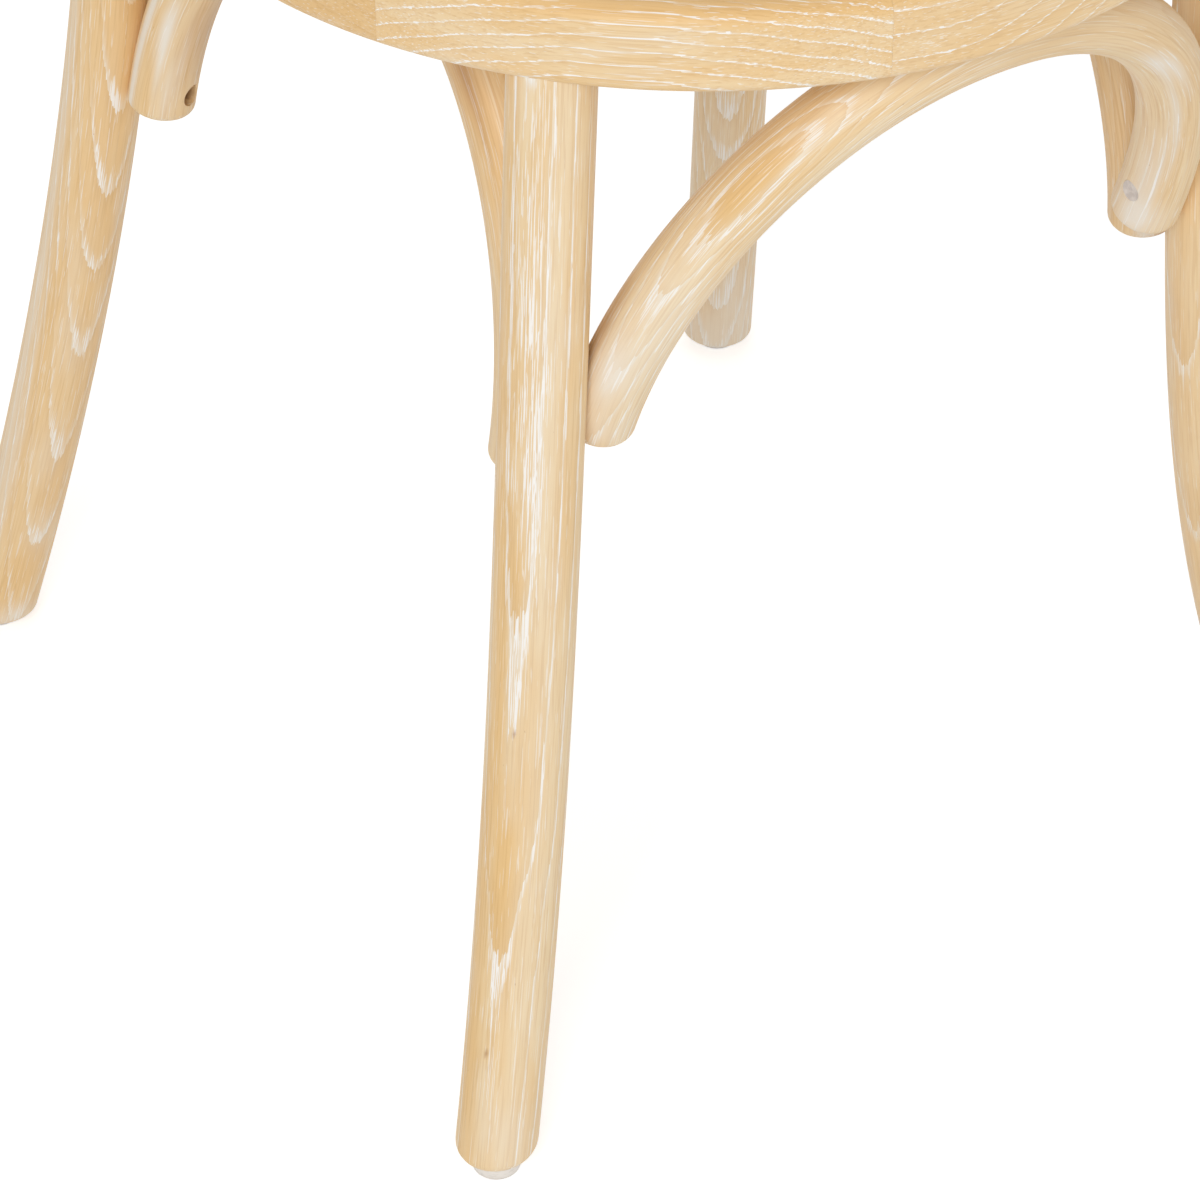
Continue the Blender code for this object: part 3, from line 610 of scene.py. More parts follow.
@dataclass(frozen=True)
class Spine:
    """A curve through space with a direction across it and one for its depth."""

    points: Array
    tangents: Array
    across: Array
    depth: Array
    arc: Array

    @classmethod
    def along(cls, points: Array, reference: Any) -> "Spine":
        """Set up directions: depth is the reference made square to the curve.

        Args:
            points: Points of the curve.
            reference: One direction, or one for each point, that depth follows.

        Returns:
            The spine.
        """
        lengths = np.linalg.norm(np.diff(points, axis=0), axis=1)
        arc = np.concatenate(([0.0], np.cumsum(lengths)))
        tangents = unit(np.gradient(points, arc, axis=0))
        reference = np.broadcast_to(np.asarray(reference, dtype=float), points.shape)
        depth = square_to(tangents, reference)
        return cls(points, tangents, np.cross(depth, tangents), depth, arc)

    def at(self, stops: Array) -> "Spine":
        """Read the spine at other distances along it.

        Args:
            stops: The distances.

        Returns:
            The spine with points there.
        """
        points, tangents, depth = (
            np.column_stack([np.interp(stops, self.arc, values[:, k]) for k in range(3)])
            for values in (self.points, self.tangents, self.depth))
        tangents = unit(tangents)
        depth = square_to(tangents, depth)
        return Spine(points, tangents, np.cross(depth, tangents), depth, stops)

    def stock(self, places: Array) -> Array:
        """Unbend points: their place across, deep and along the straight stick.

        Each point takes its nearest spine point, then the three dot products there.

        Args:
            places: Points near the spine.

        Returns:
            Across, depth and length of each point.
        """
        unbent = np.empty_like(places)
        batch = 4000
        for start in range(0, len(places), batch):
            chunk = places[start:start + batch]
            gaps = np.linalg.norm(chunk[:, None, :] - self.points[None, :, :], axis=2)
            near = np.argmin(gaps, axis=1)
            offset = chunk - self.points[near]
            for axis, ways in enumerate((self.across, self.depth, self.tangents)):
                unbent[start:start + batch, axis] = np.sum(offset * ways[near], axis=1)
            unbent[start:start + batch, 2] += self.arc[near]
        return unbent

    def unbend(self, piece: Piece, count: int = 300) -> Array:
        """Unbend a piece's points along the spine, read at a number of places."""
        return self.at(np.linspace(0, self.arc[-1], count)).stock(mesh_points(piece))


def stick_stops(length: float, step: float, rounding: float) -> tuple[Array, Array]:
    """Distances along a stick, close together over its rounded ends.

    Over an end the radius falls short by the gap of a quarter circle: r - sqrt(r2 - x2).

    Args:
        length: Length of the stick.
        step: Distance between sections along the body.
        rounding: Radius of the end rounding.

    Returns:
        The distances, and by how much the stick's radius falls short at each.
    """
    turns = np.linspace(0.0, math.pi / 2, 7)
    inset = rounding * (1 - np.cos(turns))
    short = rounding * (1 - np.sin(turns))
    body = np.linspace(rounding, length - rounding, max(4, int(length / step)))[1:-1]
    stops = np.concatenate((inset, body, length - inset[::-1]))
    return stops, np.concatenate((short, np.zeros(len(body)), short[::-1]))


def tube(spine: Spine, radii: Array, sides: int) -> Array:
    """Round sections on a spine: centre + r (cos t across + sin t depth).

    Args:
        spine: Curve to follow.
        radii: Radius at each point.
        sides: Points round each section.

    Returns:
        Grid of points, sections by sides.
    """
    turns = round_turn(sides)
    spread = (np.cos(turns)[None, :, None] * spine.across[:, None, :]
              + np.sin(turns)[None, :, None] * spine.depth[:, None, :])
    return spine.points[:, None, :] + radii[:, None, None] * spread


def level_end(grid: Array, spine: Spine, last: bool, reach: float = 45 * MM) -> Array:
    """Turn the sections near an end level, sliding points along the stick's direction.

    The share of levelling falls smoothly from 1 at the end to 0 at the reach.

    Args:
        grid: Sections of the stick.
        spine: Curve of the stick.
        last: Whether the end is the far one.
        reach: Distance over which the sections turn level.

    Returns:
        The changed grid.
    """
    away = spine.arc[-1] - spine.arc if last else spine.arc - spine.arc[0]
    share = smooth_step(np.clip(1 - away / reach, 0.0, 1.0))
    drop = (grid[:, :, 2] - spine.points[:, None, 2]) / spine.tangents[:, None, 2]
    return grid - (share[:, None] * drop)[:, :, None] * spine.tangents[:, None, :]


def close_end(grid: Array, last: bool) -> Array:
    """Add shrinking sections so that an end closes flat: scale 0.85, 0.5 and 0.12.

    Args:
        grid: Sections of a stick.
        last: Whether to close the far end.

    Returns:
        The grid with the extra sections.
    """
    edge = grid[-1] if last else grid[0]
    middle = edge.mean(axis=0)
    extra = np.stack([middle + share * (edge - middle) for share in (0.85, 0.5, 0.12)])
    return np.concatenate((grid, extra) if last else (extra[::-1], grid))


def grid_faces(rows: int, columns: int) -> Array:
    """Quads over a grid of points that is closed round its columns.

    Args:
        rows: Rows of points.
        columns: Points in a row.

    Returns:
        Four point indices for each face.
    """
    i = np.arange(rows - 1)[:, None]
    j = np.arange(columns)[None, :]
    k = (j + 1) % columns
    quads = np.stack(np.broadcast_arrays(i * columns + j, i * columns + k,
                                         (i + 1) * columns + k, (i + 1) * columns + j), axis=-1)
    return quads.reshape(-1, 4)


def turn_outward(mesh: bpy.types.Mesh) -> None:
    """Flip a closed mesh whose faces enclose a negative volume.

    Args:
        mesh: The mesh.
    """
    mesh.calc_loop_triangles()
    spots = np.empty(len(mesh.vertices) * 3)
    mesh.vertices.foreach_get("co", spots)
    spots = spots.reshape(-1, 3)
    corners = np.empty(len(mesh.loop_triangles) * 3, dtype=np.int32)
    mesh.loop_triangles.foreach_get("vertices", corners)
    a, b, c = (spots[corners.reshape(-1, 3)[:, k]] for k in range(3))
    if np.sum(np.cross(a, b) * c) < 0:
        mesh.flip_normals()


def make_mesh(name: str, points: Array, faces: Sequence[Sequence[int]]) -> Piece:
    """Put points and faces into a new object, its faces turned outward.

    Args:
        name: Name of the object.
        points: Points of the mesh.
        faces: Point indices of each face.

    Returns:
        The object, linked to the scene.
    """
    mesh = bpy.data.meshes.new(name)
    mesh.from_pydata(points.tolist(), [], [list(map(int, face)) for face in faces])
    mesh.validate()
    turn_outward(mesh)
    piece = bpy.data.objects.new(name, mesh)
    bpy.context.scene.collection.objects.link(piece)
    return piece


def solid_from_grid(name: str, grid: Array) -> Piece:
    """Make a closed stick from its sections, with a small flat cap at each end.

    Args:
        name: Name of the object.
        grid: Sections of the stick.

    Returns:
        The object.
    """
    rows, columns = grid.shape[:2]
    faces = [tuple(face) for face in grid_faces(rows, columns)]
    faces.append(tuple(range(columns))[::-1])
    faces.append(tuple(range((rows - 1) * columns, rows * columns)))
    return make_mesh(name, grid.reshape(-1, 3), faces)


def bent_stick(name: str, curve: Spine, radius: float, rounding: float, step: float,
               sides: int, level: Sequence[bool] = (), blunt: bool = False) -> Piece:
    """Sweep a round stick along a curve and close its ends.

    Args:
        name: Name of the object.
        curve: Curve to follow.
        radius: Radius of the stick.
        rounding: Radius of the end rounding.
        step: Distance between sections along the body.
        sides: Points round each section.
        level: Ends that are cut level: False for the near one, True for the far one.
        blunt: Whether the far end is cut square instead of rounded.

    Returns:
        The object.
    """
    stops, short = stick_stops(curve.arc[-1], step, rounding)
    if blunt:
        short[len(short) // 2:] = 0.0
    spine = curve.at(stops)
    grid = tube(spine, radius - short, sides)
    for last in level:
        grid = level_end(grid, spine, last)
    return solid_from_grid(name, close_end(close_end(grid, False), True))


def lathe(name: str, profile: Sequence[tuple[float, float]], sides: int, place: Array,
          axis: Array) -> Piece:
    """Turn an outline about an axis: place + h axis + r (cos t p + sin t q).

    Args:
        name: Name of the object.
        profile: Radius and height of each point, from one end of the axis to the other.
        sides: Points round the axis.
        place: Where height is zero.
        axis: Direction of the axis.

    Returns:
        The object.
    """
    axis = np.asarray(axis, dtype=float) / np.linalg.norm(axis)
    helper = np.array((1.0, 0.0, 0.0)) if abs(axis[0]) < 0.8 else np.array(REARWARD)
    first = np.cross(axis, helper)
    first /= np.linalg.norm(first)
    second = np.cross(axis, first)
    turns = round_turn(sides)
    spread = np.outer(np.cos(turns), first) + np.outer(np.sin(turns), second)
    radii = np.array([max(r, 0.02 * MM) for r, _ in profile])
    heights = np.array([h for _, h in profile])
    grid = (np.asarray(place) + heights[:, None, None] * axis
            + radii[:, None, None] * spread[None])
    return solid_from_grid(name, grid)


def carve(piece: Piece, cutters: Sequence[Piece]) -> None:
    """Take cutters away from a piece for good, then delete them.

    Args:
        piece: Piece to cut.
        cutters: Closed solids to take away.
    """
    for cutter in cutters:
        modifier = piece.modifiers.new("cut", "BOOLEAN")
        modifier.operation = "DIFFERENCE"
        modifier.solver = "EXACT"
        modifier.object = cutter
    graph = bpy.context.evaluated_depsgraph_get()
    carved = bpy.data.meshes.new_from_object(piece.evaluated_get(graph))
    piece.modifiers.clear()
    old = piece.data
    piece.data = carved
    carved.name = piece.name
    bpy.data.meshes.remove(old)
    for cutter in cutters:
        mesh = cutter.data
        bpy.data.objects.remove(cutter)
        bpy.data.meshes.remove(mesh)


def write_grain(piece: Piece, stock: Array, saw: Optional[Saw],
                growth: Optional[Array] = None, rub: Optional[Array] = None) -> None:
    """Store a piece's unbent coordinates, ring counts and rubbing for its material.

    Args:
        piece: Piece to write on.
        stock: Unbent place of each of its points.
        saw: How it was sawn, or None for cane.
        growth: Ring counts, where they aren't the saw's own.
        rub: Lime, golden tone, soil with painted shade, and film, where they aren't the saw's
            own.
    """
    values = {"stock": stock + SEED_SHIFT * (saw.seed if saw else 0)}
    if saw:
        values["growth"] = saw.growth(stock) if growth is None else growth
        rub = saw.rub(stock) if rub is None else rub
        values.update(rub=rub[:, :3], film=rub[:, 3])
    for name, rows in values.items():
        kind, key = ("FLOAT_VECTOR", "vector") if rows.ndim == 2 else ("FLOAT", "value")
        attribute = piece.data.attributes.new(name, kind, "POINT")
        attribute.data.foreach_set(key, rows.astype(np.float32).ravel())


@dataclass
class Workshop:
    """What every sub-assembly shares: the seat's centre, its finishes and the tally."""

    seat_y: float
    finishes: dict[Look, Material]
    tally: dict[str, int] = field(default_factory=dict)

    def deliver(self, piece: Piece, look: Look, *nodes: str, angle: float = 40.0,
                stock: Optional[Array] = None, saw: Optional[Saw] = None,
                growth: Optional[Array] = None, rub: Optional[Array] = None) -> None:
        """Finish a piece: its shading, grain, material, body and the nodes it stands for.

        Args:
            piece: The piece, made in the seat's own frame.
            look: Its finish.
            nodes: Names of the nodes that it replaces.
            angle: Edges sharper than this angle in degrees are left crisp.
            stock: Unbent place of each of its points, for wood and cane.
            saw: How it was sawn, for wood.
            growth: Ring counts, where they aren't the saw's own.
            rub: Lime, golden tone, soil with painted shade, and film, where they aren't the saw's
                own.
        """
        piece.data.shade_smooth()
        piece.data.set_sharp_from_angle(angle=math.radians(angle))
        if stock is not None:
            write_grain(piece, stock, saw, growth, rub)
        spots = mesh_points(piece)
        spots[:, 1] += self.seat_y
        piece.data.vertices.foreach_set("co", spots.ravel())
        piece.data.update()
        piece.data.materials.clear()
        piece.data.materials.append(self.finishes[look])
        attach(piece, ROOT)
        if nodes:
            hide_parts(*nodes)
        faces = sum(len(face.vertices) - 2 for face in piece.data.polygons)
        self.tally[piece.name] = faces
        LOG.info("%s: %d triangles", piece.name, faces)


@dataclass
class SubAssembly:
    """A part of the chair that hands its pieces to the workshop."""

    shop: Workshop


@dataclass
class FrontLeg(SubAssembly):
    """A round stick that leans a little and kicks out late, towards the foot."""

    side: Side
    saw: Saw
    radius: float = 15.0 * MM
    top: float = 0.4332
    foot: float = 10.0 * MM
    seated: float = 4.2 * MM
    stance: tuple[float, float] = (0.1382, 0.1191)
    lean: tuple[float, float] = (0.0171, 0.0005)
    kick: tuple[float, float] = (0.0360, 0.0364)
    kick_power: float = 3.85
    rounding: float = 3.5 * MM

    def centre(self, height: Array) -> Array:
        """Centreline: stance + lean t + kick t^p, with t the drop as a share of the leg.

        Args:
            height: Heights above the floor.

        Returns:
            Centre of the leg at each height.
        """
        drop = np.clip((self.top - height) / self.top, 0.0, None)
        x, y = (self.stance[k] + self.lean[k] * drop + self.kick[k] * drop ** self.kick_power
                for k in range(2))
        return np.column_stack((self.side.value * x, -y, height))

    def build(self) -> None:
        """Make and dress the leg."""
        heights = np.linspace(self.foot, self.top + self.seated, 900)
        curve = Spine.along(self.centre(heights), REARWARD)
        piece = bent_stick(f"ash_front_leg_{self.side.word}", curve, self.radius, self.rounding,
                           step=2.5 * MM, sides=128, level=(False,), blunt=True)
        self.shop.deliver(piece, Look.WOOD, f"front_leg_{self.side.word}",
                          stock=curve.unbend(piece), saw=self.saw)


@dataclass
class BackHoop(SubAssembly):
    """One long stick: a sabre rear leg, a raked hoop and the other rear leg.

    Its left and its right half have each their own saw.
    """

    saws: tuple[Saw, Saw]
    radius: float = 15.25 * MM
    seat: float = 0.4332
    foot: float = 5.0 * MM
    stance: tuple[float, float] = (0.1379, 0.1615)
    sweep: tuple[float, float] = (0.0454, 0.0782)
    sweep_power: float = 1.55
    half_width: float = 0.205
    widest: float = 0.700
    top: float = 0.870
    arch_power: float = 2.2
    rake: float = 0.105
    rake_power: float = 1.4
    rounding: float = 3.5 * MM
    figure_turn: tuple[float, float] = (0.42, 0.16)

    def leg_centre(self, side: Side, height: Array) -> Array:
        """Rear leg's centreline: stance + sweep t^p, with t the drop from the seat."""
        drop = np.clip((self.seat - height) / self.seat, 0.0, None) ** self.sweep_power
        return np.column_stack((side.value * (self.stance[0] + self.sweep[0] * drop),
                                self.stance[1] + self.sweep[1] * drop, height))

    def depth(self, height: Array) -> Array:
        """Rake of the back: y = stance + rake u^p, with u the rise to the hoop's top."""
        rise = np.clip((height - self.seat) / (self.top - self.seat), 0.0, None)
        return self.stance[1] + self.rake * rise ** self.rake_power

    def normal(self, height: Array) -> Array:
        """Rearward normal of the raked back, from its slope over 1 mm each way.

        Args:
            height: Heights above the floor.

        Returns:
            Normal at each height.
        """
        slope = (self.depth(height + MM) - self.depth(height - MM)) / (2 * MM)
        scale = np.hypot(1.0, slope)
        return np.column_stack((np.zeros_like(slope), 1 / scale, -slope / scale))

    def half(self, height: Array) -> Array:
        """Half width above the seat: a cosine flare, then a superellipse arch.

        Args:
            height: Heights above the floor.

        Returns:
            Half width at each height.
        """
        flare = (1 - np.cos(np.pi * (height - self.seat) / (self.widest - self.seat))) / 2
        low = self.stance[0] + (self.half_width - self.stance[0]) * flare
        share = np.clip((height - self.widest) / (self.top - self.widest), 0.0, 1.0)
        high = self.half_width * (1 - share ** self.arch_power) ** (1 / self.arch_power)
        return np.where(height <= self.widest, low, high)

    def spine(self) -> Spine:
        """The whole curve, from the left foot over the top to the right foot.

        Returns:
            The curve.
        """
        low = self.leg_centre(Side.LEFT, np.linspace(self.foot, self.seat, 700))
        heights = np.linspace(self.seat, self.widest, 400)[1:]
        middle = np.column_stack((-self.half(heights), self.depth(heights), heights))
        turn = np.linspace(0.0, np.pi / 2, 500)[1:]
        x = self.half_width * np.abs(np.cos(turn)) ** (2 / self.arch_power)
        rise = np.sin(turn) ** (2 / self.arch_power)
        z = self.widest + (self.top - self.widest) * rise
        left = np.vstack((low, middle, np.column_stack((-x, self.depth(z), z))))
        right = left[:-1][::-1] * np.array((-1.0, 1.0, 1.0))
        return Spine.along(np.vstack((left, right)), REARWARD)

    def build(self) -> None:
        """Make and dress the hoop."""
        curve = self.spine()
        piece = bent_stick("ash_back_hoop", curve, self.radius, self.rounding,
                           step=4.5 * MM, sides=112, level=(False, True))
        carve(piece, [SeatBolt(self.shop, side, self).counterbore() for side in Side])
        stock = curve.unbend(piece, count=900)
        # The figure of one half passes into that of the other over the top of the hoop.
        first, second = self.saws
        start, span = self.figure_turn
        share = smooth_step(np.clip((stock[:, 2] / curve.arc[-1] - start) / span, 0.0, 1.0))
        other = stock * (1.0, 1.0, -1.0) + (0.0, 0.0, curve.arc[-1])
        growth = first.growth(stock) * (1 - share) + second.growth(other) * share
        rub = first.rub(stock) * (1 - share)[:, None] + second.rub(other) * share[:, None]
        self.shop.deliver(piece, Look.WOOD, "back_hoop", stock=stock, saw=first,
                          growth=growth, rub=rub)


@dataclass
class SeatBolt(SubAssembly):
    """A bolt that draws a rear leg to the seat ring, under a turned wooden plug."""

    side: Side
    hoop: BackHoop
    height: float = 0.4482
    head: float = 5.75 * MM
    sink: float = 8.5 * MM
    recess: float = 0.4 * MM
    plug_depth: float = 4.5 * MM
    clearance: float = 0.1 * MM
    sides: int = 32

    def axis(self) -> tuple[Array, Array]:
        """Find the bolt's line.

        Returns:
            Where it leaves the leg, and its inward direction.
        """
        z = np.array([self.height])
        centre = np.array((self.side.value * self.hoop.stance[0], self.hoop.depth(z)[0],
                           self.height))
        inward = -np.array((centre[0], centre[1], 0.0))
        inward /= np.linalg.norm(inward)
        return centre - inward * self.hoop.radius, inward

    def counterbore(self) -> Piece:
        """Make the cutter of the plug's hole, with a softened rim.

        Returns:
            The cutter.
        """
        wall = self.head + self.clearance
        outline = [(0, -4 * MM), (wall + 3 * MM, -4 * MM), (wall, -0.15 * MM),
                   (wall, self.sink), (0, self.sink)]
        return lathe(f"plug_hole_{self.side.word}", outline, self.sides, *self.axis())

    def build(self) -> None:
        """Make the plug that shows behind the leg."""
        mouth, inward = self.axis()
        outline = [(0.0, self.recess), (self.head * 0.5, self.recess),
                   (self.head - 0.5 * MM, self.recess), (self.head, self.recess + 0.4 * MM),
                   (self.head, self.plug_depth), (0.0, self.plug_depth)]
        piece = lathe(f"ash_bolt_plug_{self.side.word}", outline, self.sides, mouth, inward)
        spots = mesh_points(piece) - mouth
        self.shop.deliver(piece, Look.WOOD, f"bolt_plug_{self.side.word}", angle=50,
                          stock=np.column_stack((spots @ inward, spots[:, 2], spots[:, 0])),
                          saw=Saw(spacing=2.4 * MM, seed=31 + self.side.value))


@dataclass
class BraceEnd:
    """Where a brace meets a leg: which leg, how high and on which side of it."""

    leg: Any
    side: Side
    height: float
    direction: float
    clearance: float = 0.06 * MM
    below: float = 0.03
    above: float = 0.10

    def leg_centre(self, height: float) -> Array:
        """Centre of the leg at a height.

        Args:
            height: Height above the floor.

        Returns:
            The centre.
        """
        heights = np.array([height])
        if isinstance(self.leg, BackHoop):
            return self.leg.leg_centre(self.side, heights)[0]
        return self.leg.centre(heights)[0]

    def centre(self, radius: float, cove: float) -> Array:
        """Centre of the brace's end, bedded by the cove into the leg's side."""
        angle = math.radians(self.direction)
        inward = np.array((-self.side.value * math.cos(angle), math.sin(angle), 0.0))
        return self.leg_centre(self.height) + (self.leg.radius + radius - cove) * inward

    def cutter(self, name: str) -> Piece:
        """Make the solid of the leg near the end, which cuts the brace's cove.

        Args:
            name: Name of the cutter.

        Returns:
            The cutter.
        """
        heights = np.linspace(self.height - self.below, self.height + self.above, 40)
        spine = Spine.along(np.array([self.leg_centre(h) for h in heights]), REARWARD)
        radii = np.full(len(heights), self.leg.radius + self.clearance)
        return solid_from_grid(name, tube(spine, radii, sides=64))


@dataclass
class ArchedBrace(SubAssembly):
    """A bent round stick under the seat whose ends bed on two legs.

    The centreline is a half superellipse between its ends, whose middle leans sideways and
    moves along the span in proportion to its rise.
    """

    name: str
    ends: tuple[BraceEnd, BraceEnd]
    tilt: tuple[float, float]
    saw: Saw
    arch_power: float = 2.09
    skew: float = 0.0
    radius: float = 12.75 * MM
    apex: float = 0.4332 - 0.3 * MM - 12.75 * MM
    cove: float = 1.0 * MM
    rounding: float = 4.0 * MM
    setback: float = 17 * MM
    screw_head: float = 3.75 * MM
    sink: float = 9.0 * MM
    sides: int = 28
    filled: bool = False
    putty_sides: int = 32
    putty_depth: float = 2.5 * MM
    raw_depth: float = 0.9 * MM
    hole_rub_and_shade: tuple[float, float, float, float] = (-1.0, 0.4, 0.95, 0.0)

    def spine(self) -> Spine:
        """The brace's curve from its first end to its second.

        Returns:
            The curve.
        """
        start, finish = (end.centre(self.radius, self.cove) for end in self.ends)
        turn = np.linspace(np.pi, 0.0, 1200)
        along = signed_power(np.cos(turn), 2 / self.arch_power)
        rise = np.clip(np.sin(turn), 0.0, None) ** (2 / self.arch_power)
        points = start + (finish - start) * ((along + 1) / 2)[:, None]
        points[:, 2] += (self.apex - points[:, 2]) * rise
        shift = np.array(self.tilt) + self.skew * (finish - start)[:2]
        points[:, :2] += np.outer(rise, shift)
        return Spine.along(points, (*self.tilt, 0.0))

    def screw_line(self, spine: Spine, end: BraceEnd) -> tuple[Array, Array]:
        """Find the line of an end's screw, a setback above that end.

        Args:
            spine: The brace's curve.
            end: The end.

        Returns:
            Middle of the stick at the screw, and the way the screw is driven.
        """
        rows = spine.points[:, 2] >= end.height + self.setback
        index = np.argmax(rows) if end is self.ends[0] else len(rows) - 1 - np.argmax(rows[::-1])
        spot = spine.points[index]
        drive = end.leg_centre(spot[2]) - spot
        return spot, drive / np.linalg.norm(drive)

    def hole(self, name: str, spot: Array, drive: Array) -> Piece:
        """Make the cutter of a counterbore with a softened rim.

        Args:
            name: Name of the cutter.
            spot: Middle of the stick at the screw.
            drive: Way the screw is driven.

        Returns:
            The cutter.
        """
        wall = self.screw_head + 0.3 * MM
        mouth = -self.radius
        floor = mouth + self.sink
        outline = [(0, mouth - 6 * MM), (wall + 4 * MM, mouth - 6 * MM),
                   (wall + 0.5 * MM, mouth - 0.3 * MM), (wall, mouth + 0.5 * MM),
                   (wall, floor), (0, floor)]
        return lathe(name, outline, self.sides, spot, drive)

    def build(self) -> None:
        """Make and dress the brace, with putty in its screw holes where they are filled."""
        curve = self.spine()
        piece = bent_stick(f"ash_brace_{self.name}", curve, self.radius, self.rounding,
                           step=3 * MM, sides=104)
        cutters = []
        for number, end in enumerate(self.ends):
            cutters.append(end.cutter(f"cove_{self.name}_{number}"))
            cutters.append(self.hole(f"bore_{self.name}_{number}",
                                     *self.screw_line(curve, end)))
        top = curve.points[np.argmax(curve.points[:, 2])]
        cutters.append(self.hole(f"bore_{self.name}_top", top, UP))
        carve(piece, cutters)
        stock = curve.unbend(piece)
        # The walls of the screw holes are raw, so they take no lime; their dark brown soil is
        # painted shade inside the holes.
        middle = curve.arc[-1] / 2
        inside = ((np.hypot(stock[:, 0], stock[:, 1]) < self.radius - self.raw_depth)
                  & (np.abs(stock[:, 2] - middle) < middle - 6 * MM))
        rub = self.saw.rub(stock) + inside[:, None] * np.array(self.hole_rub_and_shade)
        self.shop.deliver(piece, Look.WOOD, f"brace_{self.name}", stock=stock, saw=self.saw,
                          rub=rub)
        if self.filled:
            for end in self.ends:
                self.putty(end, *self.screw_line(curve, end))

    def putty(self, end: BraceEnd, spot: Array, drive: Array) -> None:
        """Fill a screw hole, a little below the wood.

        Args:
            end: The end whose hole it is.
            spot: Middle of the stick at the screw.
            drive: Way the screw is driven.
        """
        wall = self.screw_head + 0.25 * MM
        mouth = 0.5 * MM - self.radius
        outline = [(0.0, mouth + 0.35 * MM), (wall * 0.6, mouth + 0.2 * MM), (wall, mouth),
                   (wall, mouth + self.putty_depth), (0.0, mouth + self.putty_depth)]
        piece = lathe(f"putty_{self.name}_{end.side.word}", outline, self.putty_sides, spot,
                      drive)
        self.shop.deliver(piece, Look.PUTTY, angle=50)


@dataclass
class SeatRing(SubAssembly):
    """Built-up ring: eight sawn segments, a soft top edge and a rebate for the cane."""

    saws: tuple[Saw, ...]
    radius: float = 0.1985
    underside: float = 0.4332
    thickness: float = 30 * MM
    top_round: float = 7 * MM
    bottom_round: float = 4 * MM
    opening: float = 0.150
    ledge: float = 0.108
    rebate: float = 11 * MM
    ease: float = 0.8 * MM
    front_joint: float = 16.6
    side_joint: float = 65.7
    rear_parts: int = 5
    joint_gap: float = 0.05 * MM
    steps: int = 61
    top_starts: float = 9 * MM
    top_fade: float = 5 * MM
    top_rub: tuple[float, float, float, float] = (-0.25, 0.6, 0.07, -0.25)

    def joints(self) -> list[float]:
        """Angles of the joints from +X, from the front segment's first joint on.

        Returns:
            The angles in degrees.
        """
        front = 270.0
        marks = [front - self.front_joint, front + self.front_joint, front + self.side_joint]
        span = 360.0 - 2 * self.side_joint
        marks += [front + self.side_joint + span * k / self.rear_parts
                  for k in range(1, self.rear_parts + 1)]
        return marks + [marks[0] + 360.0]

    def outline(self) -> Array:
        """Section as radius and height, with quarter-circle edges at the rim.

        Returns:
            Points of the section.
        """
        top = self.underside + self.thickness
        shelf = top - self.rebate
        ease = self.ease
        turn = np.linspace(0, np.pi / 2, 9)
        low = np.column_stack((self.radius - self.bottom_round * (1 - np.sin(turn)),
                               self.underside + self.bottom_round * (1 - np.cos(turn))))
        high = np.column_stack((self.radius - self.top_round * (1 - np.cos(turn)),
                                top - self.top_round * (1 - np.sin(turn))))
        inner = np.array(((self.opening + ease, top),
                          (self.opening + 0.25 * ease, top - 0.25 * ease),
                          (self.opening, top - ease), (self.opening, shelf),
                          (self.ledge + ease, shelf), (self.ledge, shelf - ease),
                          (self.ledge, self.underside + ease),
                          (self.ledge + ease, self.underside)))
        flats = [low[-1] + (high[0] - low[-1]) * k / 30 for k in range(1, 30)]
        lid = [high[-1] + (inner[0] - high[-1]) * k / 36 for k in range(1, 36)]
        return np.vstack((low, flats, high, lid, inner))

    def segment(self, number: int, start: float, end: float, saw: Saw) -> None:
        """Make one segment between two joints, its grain along its chord.

        Args:
            number: Number of the segment's node.
            start: Angle of its first joint in degrees.
            end: Angle of its second joint in degrees.
            saw: How its board was sawn.
        """
        outline = self.outline()
        inset = np.arcsin(self.joint_gap / 2 / outline[:, 0])
        share = np.linspace(0.0, 1.0, self.steps)[:, None]
        angles = (math.radians(start) + inset) * (1 - share) + (math.radians(end) - inset) * share
        grid = np.stack((outline[:, 0] * np.cos(angles), outline[:, 0] * np.sin(angles),
                         np.broadcast_to(outline[:, 1], angles.shape)), axis=-1)
        piece = solid_from_grid(f"ash_seat_ring_{number}", grid)
        middle = math.radians((start + end) / 2)
        outward = np.array((math.cos(middle), math.sin(middle), 0.0))
        chord = np.array((-math.sin(middle), math.cos(middle), 0.0))
        spots = mesh_points(piece)
        stock = np.column_stack((spots @ outward - self.radius,
                                 spots[:, 2] - self.underside - self.thickness / 2,
                                 spots @ chord))
        # The top is made more golden, a little darker and with less lime and film than the rim.
        top = np.clip((stock[:, 1] - self.top_starts) / self.top_fade, 0.0, 1.0)[:, None]
        self.shop.deliver(piece, Look.WOOD, f"seat_ring_segment_{number}", angle=30,
                          stock=stock, saw=saw, rub=saw.rub(stock) + top * self.top_rub)

    def build(self) -> None:
        """Make and dress all segments."""
        marks = self.joints()
        for number, (start, end, saw) in enumerate(zip(marks, marks[1:], self.saws)):
            self.segment(number + 1, start, end, saw)


